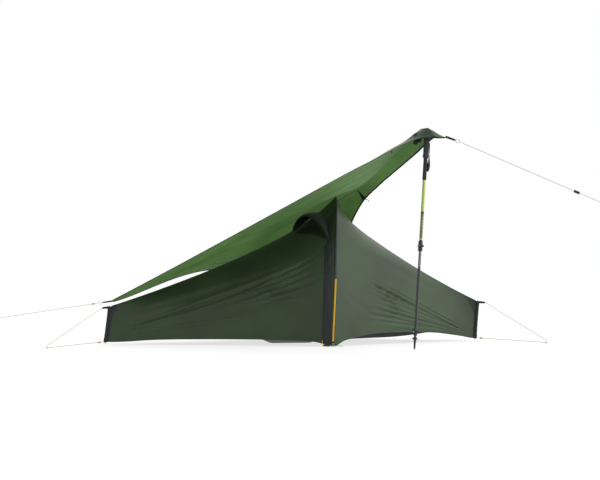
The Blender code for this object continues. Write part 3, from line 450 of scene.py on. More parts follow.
def between(low: Array | Point, high: Array | Point, count: int) -> Array:
    """Return count points at even distances on the straight line from low to high."""
    return blend_lines(low, high, np.linspace(0.0, 1.0, count))


def lattice(first: tuple[float, float, int], second: tuple[float, float, int]) -> list[Array]:
    """Return two grids of numbers, each from (start, stop, count) along its own axis of the grid."""
    return np.meshgrid(np.linspace(*first), np.linspace(*second), indexing="ij")


def hump(share: Array, power: float = 1.0) -> Array:
    """Return sin(pi share)^power, which is 0 at both ends and 1 in the middle."""
    return np.sin(math.pi * np.clip(share, 0, 1)) ** power


def bell(place: Array, middle: float, width: Array | float) -> Array:
    """Return exp(-d^2), with d the distance from the middle in widths."""
    return np.exp(-((place - middle) / width) ** 2)


def lengths_along(path: Array) -> Array:
    """Return the distance travelled at each point of a path or of each line of a grid's first axis."""
    steps = np.linalg.norm(np.diff(path, axis=0), axis=-1)
    return np.concatenate([np.zeros((1,) + steps.shape[1:]), np.cumsum(steps, axis=0)])


def cloth_size(grid: Array) -> tuple[float, float, float]:
    """Return a grid's greatest lengths along its first and second axes, and its area.

    The area is that of its parallelograms, kept between LEAST_AREA and all of length times length.
    """
    down, across = np.diff(grid, axis=0)[:, :-1], np.diff(grid, axis=1)[:-1]
    area = float(np.sum(np.linalg.norm(np.cross(down, across), axis=-1)))
    first = float(lengths_along(grid)[-1].max())
    second = float(lengths_along(grid.swapaxes(0, 1))[-1].max())
    return first, second, min(max(area, LEAST_AREA * first * second), first * second)


def resample(path: Array, count: int) -> Array:
    """Return count points at even distances along a path of straight pieces."""
    path = np.asarray(path, float)
    travelled = lengths_along(path)
    places = np.linspace(0.0, travelled[-1], count)
    return np.stack([np.interp(places, travelled, path[:, k]) for k in range(3)], axis=1)


def spline(points: Array, count: int) -> Array:
    """Return a smooth line through the points.

    Each stretch is the Catmull-Rom cubic: half of 2b + (c - a)t + (2a - 5b + 4c - d)t^2 +
    (3b - a - 3c + d)t^3 between b and c, with a and d their neighbours.

    Args:
        points: at least two points.
        count: number of points returned, at even distances.
    """
    points = np.asarray(points, float)
    padded = np.concatenate([2 * points[:1] - points[1:2], points, 2 * points[-1:] - points[-2:-1]])
    t = np.linspace(0.0, 1.0, 24, endpoint=False)[None, :, None]
    a, b, c, d = (padded[k:len(points) - 1 + k, None, :] for k in range(4))
    fine = 0.5 * (2 * b + (c - a) * t + (2 * a - 5 * b + 4 * c - d) * t ** 2
                  + (3 * b - a - 3 * c + d) * t ** 3)
    return resample(np.concatenate([fine.reshape(-1, 3), points[-1:]]), count)


def surface_normals(grid: Array) -> Array:
    """Return the unit cross product of a grid's differences along its two axes."""
    return unit(np.cross(np.gradient(grid, axis=0), np.gradient(grid, axis=1)))


def facing(way: Array | Point, *grids: Array) -> list[Array]:
    """Return the grids with their columns reversed where the first one doesn't face the way given."""
    normals = surface_normals(grids[0]).reshape(-1, 3)
    return [g[:, ::-1] if float(np.sum(normals @ np.asarray(way, float))) < 0 else g for g in grids]


def cloth_coordinates(grid: Array) -> Array:
    """Return lengths in metres along both axes of a grid, as the cloth's own flat coordinates."""
    return np.stack([lengths_along(grid), lengths_along(grid.swapaxes(0, 1)).T], axis=-1)


def quads(index: Array) -> Array:
    """Return the quads of a grid of point numbers, turned to face its surface_normals."""
    return np.stack([index[:-1, :-1], index[1:, :-1], index[1:, 1:], index[:-1, 1:]], axis=-1).reshape(-1, 4)


def superellipse(angle: Array, wide: float, tall: float, powers: Share) -> Array:
    """Return points (wide |cos a|^p, tall |sin a|^q), each with the sign of its cosine or sine."""
    cosine, sine = np.cos(angle), np.sin(angle)
    return np.stack([np.sign(cosine) * np.abs(cosine) ** powers[0] * wide,
                     np.sign(sine) * np.abs(sine) ** powers[1] * tall], axis=1)


def round_section(radius: float, sides: int = 12) -> Array:
    """Return a circle as sides points (radius cos a, radius sin a)."""
    angle = np.arange(sides) * 2 * math.pi / sides
    return np.stack([np.cos(angle), np.sin(angle)], axis=1) * radius


def strap_section(width: float, thickness: float, sides: int = 16) -> Array:
    """Return a rectangle with rounded ends, as a superellipse."""
    return superellipse(np.arange(sides) * 2 * math.pi / sides, width / 2, thickness / 2, (0.35, 0.8))


@dataclass
class Shape:
    """A mesh put together from arrays of points, faces and cloth coordinates.

    Attributes:
        points: one array of points for each part added.
        faces: point numbers of each face.
        corners: cloth coordinates of each face corner.
        slots: the finish number of each face.
        count: points so far.
    """

    points: list[Array] = field(default_factory=list)
    faces: list[list[int]] = field(default_factory=list)
    corners: list[Array] = field(default_factory=list)
    slots: list[int] = field(default_factory=list)
    count: int = 0

    def cover(self, faces: Array, corners: Array, slot: int) -> None:
        """Add faces by the numbers of points that are there.

        Args:
            faces: (m, k) numbers of the points.
            corners: cloth coordinates of the m times k face corners.
            slot: finish number.
        """
        self.faces.extend(faces.tolist())
        self.corners.append(corners.reshape(-1, 2))
        self.slots.extend([slot] * len(faces))

    def sheet(self, outer: Array, inner: Array, slots: tuple[int, int, int] = (0, 0, 0)) -> "Shape":
        """Add a closed cloth between two grids, the outer one facing its surface_normals.

        Args:
            outer: (rows, columns, 3) outside.
            inner: the inside, of the same size.
            slots: finish numbers of the outside, the inside and the edge.
        """
        index = np.arange(outer.shape[0] * outer.shape[1]).reshape(outer.shape[:2])
        flat = np.tile(cloth_coordinates(outer).reshape(-1, 2), (2, 1))
        loop = np.concatenate([index[:, 0], index[-1, 1:], index[-2::-1, -1], index[0, -2:0:-1]])
        after = np.roll(loop, -1)
        rim = np.stack([after, loop, loop + index.size, after + index.size], axis=-1)
        self.points.append(np.concatenate([outer.reshape(-1, 3), inner.reshape(-1, 3)]))
        for faces, slot in zip((quads(index), quads(index)[:, ::-1] + index.size, rim), slots):
            self.cover(faces + self.count, flat[faces], slot)
        self.count += 2 * index.size
        return self

    def tube(self, rings: Array, travelled: Array, slot: int, looped: bool) -> "Shape":
        """Join rings of points into a tube, with a cap on both ends where it isn't looped.

        Args:
            rings: (n, m, 3) points.
            travelled: distance along the tube at each ring, and once more at the first where looped.
            slot: finish number.
            looped: join the last ring to the first.
        """
        count, sides = rings.shape[:2]
        turns = np.linspace(0.0, 1.0, sides + 1)
        i, j = np.meshgrid(np.arange(count if looped else count - 1), np.arange(sides), indexing="ij")
        ahead, beside = (i + 1) % count, (j + 1) % sides
        faces = np.stack([i * sides + j, i * sides + beside, ahead * sides + beside, ahead * sides + j], -1)
        corners = np.stack([np.stack([travelled[i + a], turns[j + b]], axis=-1)
                            for a, b in ((0, 0), (0, 1), (1, 1), (1, 0))], axis=-2)
        self.points.append(rings.reshape(-1, 3))
        self.cover(faces.reshape(-1, 4) + self.count, corners, slot)
        if not looped:
            cap = np.arange(sides)[None, :]
            for faces in (cap[:, ::-1], cap + (count - 1) * sides):
                self.cover(faces + self.count, np.zeros((sides, 2)), slot)
        self.count += count * sides
        return self

    def carried(self, path: Array, section: Array, reference: Array | Point, scale: Array | float = 1.0,
                slot: int = 0, ring: bool = False) -> "Shape":
        """Add a profile carried along a path.

        Each ring of points is the path point plus the section's first number times the side
        (reference cross tangent) and its second times the tangent cross the side.

        Args:
            path: (n, 3) points.
            section: (m, 2) profile, anticlockwise.
            reference: direction, or one for each path point, that the section's width is square to.
            scale: size of the section at each path point, or one number, or (n, 2) for width and height.
            slot: finish number.
            ring: join the last point of the path to the first, with no caps.
        """
        path = np.asarray(path, float)
        if ring:
            tangent = unit(np.roll(path, -1, axis=0) - np.roll(path, 1, axis=0))
        else:
            tangent = unit(np.gradient(path, axis=0))
        side = unit(np.cross(np.broadcast_to(np.asarray(reference, float), path.shape), tangent))
        rise = np.cross(tangent, side)
        scale = np.asarray(scale, float)
        scale = np.broadcast_to(scale[:, None] if scale.ndim == 1 else scale, (len(path), 2))
        rings = (path[:, None, :] + side[:, None, :] * (section[None, :, :1] * scale[:, None, :1])
                 + rise[:, None, :] * (section[None, :, 1:] * scale[:, None, 1:]))
        return self.tube(rings, lengths_along(np.concatenate([path, path[:1]]) if ring else path), slot, ring)

    def turned(self, start: Array | Point, axis: Array | Point, profile: Array, sides: int = 32,
               slot: int = 0, ripple: Array | None = None, bore: float = 0.0) -> "Shape":
        """Add a profile of (distance along the axis, radius) turned round an axis, closed at both ends.

        Args:
            start: point where the distance is 0.
            axis: direction of the axis.
            profile: (n, 2) distances and radii, in order along the axis.
            sides: points round the axis.
            slot: finish number.
            ripple: (n, sides) factors on the radius, or None.
            bore: radius of the hole down the axis, or 0 for none.
        """
        profile = np.asarray(profile, float)
        axis = unit(axis)
        side = unit(np.cross(RIGHT if abs(axis[0]) < 0.8 else BACK, axis))
        circle = round_section(1.0, sides)
        spokes = side * circle[:, :1] + np.cross(axis, side) * circle[:, 1:]
        radii = profile[:, 1][:, None] * (np.ones((len(profile), sides)) if ripple is None else ripple)
        if bore:
            profile = np.concatenate([profile, [(profile[-1, 0], bore), (profile[0, 0], bore)]])
            radii = np.concatenate([radii, np.full((2, sides), bore)])
        middle = np.asarray(start, float) + axis * profile[:, 0][:, None, None]
        along = lengths_along(np.concatenate([profile, profile[:1]])) + profile[0, 0]
        return self.tube(middle + spokes[None] * radii[..., None], along, slot, bool(bore))

    def piece(self, name: str, *finishes: Finish, body: str = TENT, sharp: float = 50.0) -> Object:
        """Make the object, give it its finishes and let it ride on a body.

        Args:
            name: the piece's name.
            finishes: in the order of the slot numbers.
            body: the body it moves with.
            sharp: angle in degrees over which an edge is shaded sharp.
        """
        mesh = bpy.data.meshes.new(name)
        mesh.from_pydata(np.concatenate(self.points).tolist(), [], self.faces)
        mesh.polygons.foreach_set("use_smooth", np.ones(len(mesh.polygons), bool))
        mesh.polygons.foreach_set("material_index", np.asarray(self.slots, np.int32))
        layer = mesh.uv_layers.new(name="cloth")
        layer.data.foreach_set("uv", np.concatenate(self.corners).astype(np.float32).ravel())
        for finish in finishes:
            mesh.materials.append(finish.material())
        mesh.set_sharp_from_angle(angle=math.radians(sharp))
        mesh.update()
        made = bpy.data.objects.new(name, mesh)
        bpy.context.scene.collection.objects.link(made)
        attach(made, body)
        LOG.info("%s: %d faces on %s", name, len(mesh.polygons), body)
        return made


def refinish(finish: Finish, *nodes: str) -> None:
    """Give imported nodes, whose shapes stay as they are, this finish."""
    for node in nodes:
        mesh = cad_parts[node].data
        mesh.materials.clear()
        mesh.materials.append(finish.material())


@dataclass
class Studio:
    """Plain white studio: camera, pale floor, soft lamps and a white surround.

    Attributes:
        camera: its place; it looks level along +Y.
        lens_mm, sensor_mm: focal length and width of the sensor.
        roll: turn about its own axis in radians.
        shift: upward shift of the frame, as a share of its width.
        suns: direction towards each soft lamp, its strength and its angular size.
        surround: strength of the light from all around.
        floor_size: side of the floor in metres.
        floor_colour: sRGB hex colour that the floor gives back.
        floor_glow: strength of the floor's own white.
    """

    camera: Point = (0.07, -8.0, 0.45)
    lens_mm: float = 69.6
    sensor_mm: float = 36.0
    roll: float = 0.0108
    shift: float = 0.0617
    suns: tuple[tuple[Point, float, float], ...] = (
        ((0.95, -0.50, 0.95), 1.4, 1.2), ((1.0, -0.4, 0.07), 1.0, 0.5), ((0.1, 0.9, 0.9), 0.9, 0.8))
    surround: float = 0.32
    floor_size: float = 80.0
    floor_colour: str = "#A8A8A8"
    floor_glow: float = 0.72

    def build(self) -> None:
        """Set up the camera, the floor, the lamps and the world."""
        scene = bpy.context.scene
        scene.view_settings.view_transform = "Standard"
        camera = bpy.data.objects.new("camera", bpy.data.cameras.new("camera"))
        camera.location = self.camera
        camera.rotation_euler = (math.pi / 2, self.roll, 0.0)
        camera.data.lens = self.lens_mm
        camera.data.sensor_width = self.sensor_mm
        camera.data.shift_y = self.shift
        camera.data.clip_end = 200.0
        scene.collection.objects.link(camera)
        scene.camera = camera
        self.floor()
        for number, (towards, strength, spread) in enumerate(self.suns):
            lamp = bpy.data.objects.new(f"lamp_{number}", bpy.data.lights.new(f"lamp_{number}", "SUN"))
            lamp.data.energy = strength
            lamp.data.angle = spread
            x, y, z = unit(towards)
            lamp.rotation_euler = (math.acos(z), 0.0, math.atan2(y, x) + math.pi / 2)
            scene.collection.objects.link(lamp)
        self.world()

    def floor(self) -> None:
        """Lay the floor: matt and pale, with some white of its own that only the eye and mirrors see."""
        half = self.floor_size / 2
        mesh = bpy.data.meshes.new("floor")
        mesh.from_pydata([(-half, -half, 0), (half, -half, 0), (half, half, 0), (-half, half, 0)], [],
                         [(0, 1, 2, 3)])
        paint = bpy.data.materials.new("pale_floor")
        paint.use_nodes = True
        tree = paint.node_tree
        tree.nodes.clear()
        plain = add_node(tree, "BsdfDiffuse", {"Color": linear(self.floor_colour)})
        glow = add_node(tree, "Emission", {"Strength": self.seen(tree, self.floor_glow)})
        both = add_node(tree, "AddShader", {0: plain.outputs[0], 1: glow.outputs[0]})
        add_node(tree, "OutputMaterial", {"Surface": both.outputs[0]})
        mesh.materials.append(paint)
        floor = bpy.data.objects.new("floor", mesh)
        bpy.context.scene.collection.objects.link(floor)

    def seen(self, tree: Tree, strength: float) -> Socket:
        """Return strength where the ray comes from the camera, a mirror or a clear surface, else 0."""
        rays = add_node(tree, "LightPath").outputs
        either = calculate(tree, "ADD", rays["Is Camera Ray"], rays["Is Glossy Ray"])
        total = calculate(tree, "ADD", either, rays["Is Transmission Ray"])
        return calculate(tree, "MULTIPLY", calculate(tree, "MINIMUM", total, 1.0), strength)

    def world(self) -> None:
        """Surround the scene with white for the eye and a plain grey light for the object."""
        world = bpy.data.worlds.new("surround")
        world.use_nodes = True
        bpy.context.scene.world = world
        tree = world.node_tree
        level = calculate(tree, "ADD", self.seen(tree, 1.0 - self.surround), self.surround)
        feed(tree, tree.nodes["Background"], {"Color": (1.0, 1.0, 1.0, 1.0), "Strength": level})


@dataclass
class Strut:
    """Short upright rod at one end of the tent, in its sleeve.

    Attributes:
        side: -1 for the left end, 1 for the right.
        end: the end's name.
        base_x: x of its foot.
        top_x: x of its top.
        height: z of its top.
        bottom_z: z of its foot.
        sleeve_radius: half the sleeve's width along the tent.
    """

    side: int
    end: str
    base_x: float
    top_x: float
    height: float
    bottom_z: float = 0.006
    sleeve_radius: float = 0.012

    def line(self, share: Array | float) -> Array:
        """Return points up the strut, straight from share 0 at its foot to 1 at its top."""
        return blend_lines((self.base_x, 0.0, self.bottom_z), (self.top_x, 0.0, self.height), share)


@dataclass
class Arch:
    """The one hoop that carries the tent: a half ellipse that leans a little to the right.

    Attributes:
        base_x: x of its feet.
        top_x: x of its crown.
        half_width: y of its feet.
        height: z of its crown.
        foot_z: z of its feet.
        sleeve_radius: radius of the sleeve round it.
    """

    base_x: float = 0.280
    top_x: float = 0.320
    half_width: float = 0.550
    height: float = 0.990
    foot_z: float = 0.0006
    sleeve_radius: float = 0.0095

    def line(self, angle: Array | float, grow: float = 0.0) -> Array:
        """Return (base + lean sin a, -width cos a, height sin a), with grow added to width and height."""
        angle = np.asarray(angle, float)
        rise = np.sin(angle)
        return np.stack([self.base_x + (self.top_x - self.base_x) * rise,
                         -(self.half_width + grow) * np.cos(angle),
                         self.foot_z + (self.height + grow - self.foot_z) * rise], axis=-1)


LEFT_STRUT = Strut(-1, "left", -1.280, -1.244, 0.266)
RIGHT_STRUT = Strut(1, "right", 1.272, 1.294, 0.276)
STRUTS = (LEFT_STRUT, RIGHT_STRUT)
ARCH = Arch()
# Half the width of a sleeve between its flats, as a share of its radius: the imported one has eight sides.
FLAT_SHARE = math.cos(math.pi / 8)
# Gap that keeps a cloth or a strap off a sleeve, in metres.
SEAM_GAP = 0.0006
# Points round a line.
LINE_SIDES = 10


@dataclass
class Lines:
    """Guy lines with what slides on them, and the pegs.

    Attributes:
        diameter: of every line.
        pegs: x and y of the peg at each end.
        rear_peg: x and y of the tarp's peg.
        peg_radius: of a peg's shank.
        bend: radius on which a line turns round its peg.
        gap: between a line and what it touches.
        far_left, far_right: where the long lines leave the picture.
        left_start, right_start: where they leave the tarp's corners.
        tensioner_at: length along the right line at which it turns yellow.
    """

    diameter: float = 0.0026
    pegs: tuple[Share, Share] = ((-1.594, -0.500), (1.683, -0.500))
    rear_peg: Share = (0.380, 1.560)
    peg_radius: float = 0.0035
    bend: float = 0.0070
    gap: float = 0.0003
    far_left: Point = (-2.050, 0.000, 0.184)
    far_right: Point = (1.960, -1.100, 0.832)
    left_start: Point = (-1.31875, -0.01383, 0.28571)
    right_start: Point = (1.03624, -1.04502, 1.25014)
    tensioner_at: float = 0.757

    def around_peg(self, high: Array, corner: Array, low: Array) -> tuple[Array, Array]:
        """Return the line from high, round the peg at the corner, to low, and its turn alone.

        The turn is a circular arc of the bend's radius that touches both straight runs. Its centre
        lies on their bisector, at the radius over the sine of half the angle between them.
        """
        first, second = unit(high - corner), unit(low - corner)
        half = math.acos(float(first @ second)) / 2
        middle = unit(first + second)
        outward = unit(np.cross(np.cross(middle, first), middle))
        centre = corner + middle * self.bend / math.sin(half)
        turn = np.linspace(math.pi / 2 - half, half - math.pi / 2, 33)[:, None]
        arc = centre + self.bend * (outward * np.sin(turn) - middle * np.cos(turn))
        return np.concatenate([between(high, arc[0], 30)[:-1], arc, between(arc[-1], low, 30)[1:]]), arc

    def declare(self, name: str, path: Array, node: str,
                colours: tuple[Finish, ...] = (LINE,), change: float = math.inf) -> None:
        """Args:
            name: the piece's name.
            path: its centre line.
            node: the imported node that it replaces.
            colours: its finish, and the one after the change.
            change: length along it where the second colour starts.
        """
        shape = Shape().carried(path, round_section(self.diameter / 2, LINE_SIDES), UP)
        travelled = lengths_along(path)
        late = np.repeat(travelled[:-1] > change, LINE_SIDES).astype(int).tolist()
        shape.slots = late + [0, int(travelled[-1] > change)]
        line = shape.piece(name, *colours)
        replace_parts(line, node)

    def dress(self) -> None:
        """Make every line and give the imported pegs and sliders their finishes.

        An end line's corner is moved up or down until the lowest point of its turn rests on the peg's
        shank.
        """
        rest = 2 * self.peg_radius + self.diameter / 2 + self.gap
        for strut, peg in zip(STRUTS, self.pegs):
            seat = strut.side * (strut.sleeve_radius * FLAT_SHARE + self.gap)
            reach = strut.side * (PoleSet.tab_length + self.gap + self.diameter / 2)
            high = strut.line(0.955) + np.array([seat + reach, 0.0, -PoleSet.tab_drop])
            low = strut.line(0.045) + np.array([seat + strut.side * self.diameter, 0.0, 0.0])
            corner = np.array([*peg, rest])
            for _ in range(4):
                corner[2] += rest - self.around_peg(high, corner, low)[1][:, 2].min()
            self.declare(f"guy_line_{strut.end}", self.around_peg(high, corner, low)[0], f"guy_{strut.end}")
        left = between(self.left_start, self.far_left, 24)
        right = between(self.right_start, self.far_right, 40)
        self.declare("tarp_line_left", left, "tarp_guy_left")
        self.declare("tarp_line_right", right, "tarp_guy_right",
                     (LINE, YELLOW_LINE), self.tensioner_at)
        stop = np.array([*self.rear_peg, rest])
        start = 2 * np.array(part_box("tarp_guy_rear")).mean(axis=0) - stop
        self.declare("tarp_line_rear", between(start, stop, 20), "tarp_guy_rear")
        refinish(STEEL, "peg_left", "peg_right", "peg_rear")
        refinish(YELLOW_NYLON, "adjuster_left", "adjuster_right", "adjuster_tarp")
        refinish(BLACK_NYLON, "line_tensioner")


@dataclass(frozen=True)
class Crease:
    """A tension fold in a tent panel, from one place to another in the panel's own shares.

    Attributes:
        start: share along and share up where it fades in.
        stop: share along and share up where it fades out.
        depth: how far it sinks, in metres.
        width: half its width, in metres.
    """

    start: Share
    stop: Share
    depth: float
    width: float


def creased(along: Array, up: Array, creases: tuple[Crease, ...], size: Share) -> Array:
    """Return how far the folds push the cloth out.

    A fold is a valley with a lower ridge on either side: -depth (1 - (d/w)^2) exp(-(d/w)^2 / 2)
    times sin(pi t)^0.6, with d the distance from its line, w its width and t the share along it. Places
    are measured flat, with the panel's height growing from a third at the strut to whole at the arch.

    Args:
        along: shares from strut to arch.
        up: shares from hem to ridge.
        creases: the folds.
        size: length and height of the panel in metres.
    """
    def flat(wide: Array, high: Array) -> Array:
        """Return flat places in metres for shares along and up."""
        return np.stack([wide * size[0], high * size[1] * (0.33 + 0.67 * wide)], axis=-1)

    here = flat(along, up)[..., None, :]
    start = flat(*np.array([c.start for c in creases]).T)
    stop = flat(*np.array([c.stop for c in creases]).T)
    depth = np.array([c.depth for c in creases])
    width = np.array([c.width for c in creases])
    way = unit(stop - start)
    span = np.linalg.norm(stop - start, axis=-1)
    share = np.clip(np.sum((here - start) * way, axis=-1) / span, 0.0, 1.0)
    distance = (here[..., 0] - start[:, 0]) * way[:, 1] - (here[..., 1] - start[:, 1]) * way[:, 0]
    ratio = (distance / (width * (0.45 + 0.55 * hump(share)))) ** 2
    return np.sum(-depth * (1 - ratio) * np.exp(-ratio / 2) * hump(share, 0.6), axis=-1)


def fan(start: Share, stop: Share, spread: float, count: int, depth: float, width: float,
        seed: int) -> tuple[Crease, ...]:
    """Return folds that leave one corner and open out like the ribs of a fan, slightly uneven.

    Args:
        start: where the first fold starts.
        stop: where the first fold stops.
        spread: share up between the first and the last fold where they stop.
        count: number of folds.
        depth: depth of the deepest.
        width: half-width of the widest.
        seed: seed of the unevenness.
    """
    random = np.random.default_rng(seed)
    shares = np.linspace(0.0, 1.0, count)
    starts = np.array(start) + np.stack([0.12 * random.random(count), spread * 0.35 * shares], axis=1)
    stops = np.array(stop) + np.stack([0.10 * random.random(count) - 0.05, spread * shares], axis=1)
    sizes = 0.55 + 0.45 * random.random(count)
    return tuple(Crease(tuple(a), tuple(b), depth * s, width * (0.6 + 0.4 * s))
                 for a, b, s in zip(starts, stops, sizes))


@dataclass
class TentHalf:
    """Half of the outer tent, left or right of the arch: one cloth from front hem over ridge to rear hem.

    Attributes:
        strut: the strut at its low end.
        hem: shares along, and how high the hem stands there above the line between its corners.
        front_folds, rear_folds: folds of the two panels.
        peak_power: power of the ridge's last, steepest part of rise, at the arch.
        patch_reach: length of the corner patch as a share of the panel.
        ridge: straight share and curved share of the ridge's rise.
        foot_share: share up the strut at which the hem starts.
        thickness: of the cloth, thicker than the real 0.05 mm so that both faces render.
        trim_gap, trim_thickness: gap under a strip of doubled cloth, and its thickness.
        columns, rows: points along the tent and up one panel.
    """

    strut: Strut
    hem: tuple[tuple[float, ...], tuple[float, ...]]
    front_folds: tuple[Crease, ...]
    rear_folds: tuple[Crease, ...]
    peak_power: int
    patch_reach: float
    ridge: Share = (0.66, 0.20)
    foot_share: float = 0.04
    thickness: float = 0.0008
    trim_gap: float = 0.0002
    trim_thickness: float = 0.0006
    columns: int = 170
    rows: int = 90

    def rise(self, along: Array) -> Array:
        """Return the ridge's share of its climb from strut to arch: (1 - s - c) a^n + s a + c a^2."""
        line, curve = self.ridge
        return (1 - line - curve) * along ** self.peak_power + line * along + curve * along ** 2

    def section(self, along: Array, up: Array) -> Array:
        """Return a point of the panel, its y unsigned.

        x runs evenly from strut to arch. The height above the hem follows the ridge's rise, plus the
        hem's own height, which fades as (1 - up)^3. It is read from its table and averaged over a
        short length, so that it has no corners. The depth is the arch's own depth times a (0.9 + 0.1 a).
        """
        foot = self.strut.line(self.foot_share + (1 - self.foot_share) * up)
        arch = ARCH.line(math.pi / 2 * up)
        side = self.strut.side
        start = foot[..., 0] - side * (self.strut.sleeve_radius * FLAT_SHARE + SEAM_GAP)
        stop = arch[..., 0] + side * (ARCH.sleeve_radius * FLAT_SHARE + SEAM_GAP)
        near = np.clip(along[..., None] + np.linspace(-0.024, 0.024, 7), 0, 1)
        ends = np.clip(np.minimum(along, 1 - along) / 0.02, 0, 1)
        hem = np.interp(near, *self.hem).mean(axis=-1) * (1 - up) ** 3 * ends
        return np.stack([start + (stop - start) * along, -arch[..., 1] * along * (0.90 + 0.10 * along),
                         foot[..., 2] + (arch[..., 2] - foot[..., 2]) * self.rise(along) + hem], axis=-1)

    def panel(self, face: int, along: Array, up: Array) -> tuple[Array, Array]:
        """Return points and outward normals of one panel at any shares, folds included.

        Args:
            face: -1 front or 1 rear.
            along: shares from strut to arch.
            up: shares from hem to ridge.
        """
        points = self.section(along, up)
        points[..., 1] += (self.thickness + 0.0004) * (1 - along) ** 2 * (1 - up ** 6)
        points[..., 1] *= face
        step = 1e-3
        forth, back = np.clip(along + step, 0, 1), np.clip(along - step, 0, 1)
        above, below = np.clip(up + step, 0, 1), np.clip(up - step, 0, 1)
        normals = unit(np.cross(self.section(forth, up) - self.section(back, up),
                                self.section(along, above) - self.section(along, below)))
        normals = normals * np.sign(normals[..., 1:2] + 0.5 * normals[..., 2:3])
        normals[..., 1] *= face
        folds = self.front_folds if face < 0 else self.rear_folds
        size = (abs(ARCH.top_x - self.strut.top_x), 1.1)
        depth = creased(along, up, folds, size) * (hump(along, 0.5) * hump(up, 0.5))
        return points + normals * depth[..., None], normals

    def grids(self) -> tuple[Array, Array]:
        """Return the outside and inside of the whole half, front hem first."""
        up, along = lattice((0, 1, self.rows), (0, 1, self.columns))
        front, _ = self.panel(-1, along, up)
        rear, _ = self.panel(1, along, up)
        front[-1, :, 1] = 0.0
        outer, = facing(UP, np.concatenate([front, rear[-2::-1]]))
        inner = outer - surface_normals(outer) * self.thickness
        inner[..., 1] = np.sign(outer[..., 1]) * np.maximum(np.abs(inner[..., 1]), 0.0002)
        return outer, inner

    def layer(self, shape: Shape, face: int, along: Array, up: Array, gap: Array | float,
              thickness: float) -> None:
        """Add a second layer of cloth over part of a panel.

        Args:
            shape: mesh that takes it.
            face: -1 front or 1 rear.
            along: its shares from strut to arch.
            up: its shares from hem to ridge.
            gap: between the panel and the layer.
            thickness: of the layer.
        """
        points, normals = self.panel(face, along, up)
        gap = np.asarray(gap)[..., None]
        shape.sheet(*facing((0, face, 0.3), points + normals * (gap + thickness), points + normals * gap))

    def band(self, shape: Shape, face: int, ups: Share, alongs: Share) -> None:
        """Add a strip of doubled cloth that follows the panel between shares up and shares along."""
        tall = abs(ups[1] - ups[0]) > abs(alongs[1] - alongs[0])
        up, along = lattice((*ups, 60 if tall else 5), (*alongs, 5 if tall else 60))
        self.layer(shape, face, along, up, self.trim_gap, self.trim_thickness)

    def corner_patch(self, shape: Shape, face: int) -> None:
        """Add the three-cornered doubling at the top of the strut.

        Its width along the ridge shrinks evenly to nothing from the strut's top downwards.
        """
        up, share = lattice((0.62, 0.985, 14), (0.0, 1.0, 12))
        along = 0.004 + share * self.patch_reach * ((up - 0.60) / 0.385)
        self.layer(shape, face, along, up, 0.0004, self.thickness)

    def dress(self) -> None:
        end = self.strut.end
        name = f"outer_tent_{end}"
        outer, inner = self.grids()
        hem, patch = Shape(), Shape()
        for face in (-1, 1):
            for ups, alongs in (((0.0, 0.022), (0.01, 0.99)), ((0.965, 0.995), (0.02, 0.985))):
                self.band(hem, face, ups, alongs)
            self.corner_patch(patch, face)
            self.band(patch, face, (0.0, 0.985), (-0.003, 0.009))
        hems = hem.piece(f"{name}_hems", FLY)
        patches = patch.piece(f"{name}_patches", FLY_DARK_AND_HOOD_SHADE)
        cloth = Shape().sheet(outer, inner).piece(name, FLY)
        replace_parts(cloth, f"fly_front_{end}", f"fly_rear_{end}")
        length, width, area = cloth_size(outer)


LEFT_FOLDS = fan((0.06, 0.22), (0.95, 0.22), 0.25, 6, 0.0200, 0.0190, 3) + (
    Crease((0.10, 0.62), (0.80, 0.50), 0.0035, 0.035), Crease((0.45, 0.10), (0.95, 0.09), 0.0025, 0.03))
RIGHT_FOLDS = fan((0.05, 0.06), (0.80, 0.10), 0.34, 8, 0.0100, 0.0140, 5) + (
    Crease((0.62, 0.40), (0.99, 0.30), 0.0030, 0.020), Crease((0.20, 0.75), (0.75, 0.66), 0.0030, 0.045),
    Crease((0.70, 0.12), (0.985, 0.27), 0.0030, 0.018), Crease((0.55, 0.62), (0.97, 0.60), 0.0025, 0.05))
REAR_FOLDS = fan((0.05, 0.10), (0.85, 0.14), 0.30, 8, 0.0075, 0.021, 8)
LEFT_HEM = ((0.0, 0.055, 0.11, 0.165, 0.22, 0.33, 0.49, 0.70, 0.80, 0.90, 0.95, 0.975, 1.0),
            (0.0, 0.001, 0.006, 0.013, 0.019, 0.025, 0.030, 0.034, 0.032, 0.030, 0.024, 0.009, 0.0))
RIGHT_HEM = ((0.0, 0.025, 0.077, 0.166, 0.254, 0.341, 0.541, 0.681, 0.78, 0.845, 0.90, 0.94, 0.975, 1.0),
             (0.0, 0.001, 0.015, 0.031, 0.046, 0.055, 0.065, 0.068, 0.062, 0.050, 0.040, 0.034, 0.010, 0.0))
LEFT_HALF = TentHalf(LEFT_STRUT, LEFT_HEM, LEFT_FOLDS, REAR_FOLDS, 8, 0.030)
RIGHT_HALF = TentHalf(RIGHT_STRUT, RIGHT_HEM, RIGHT_FOLDS, REAR_FOLDS, 20, 0.062)


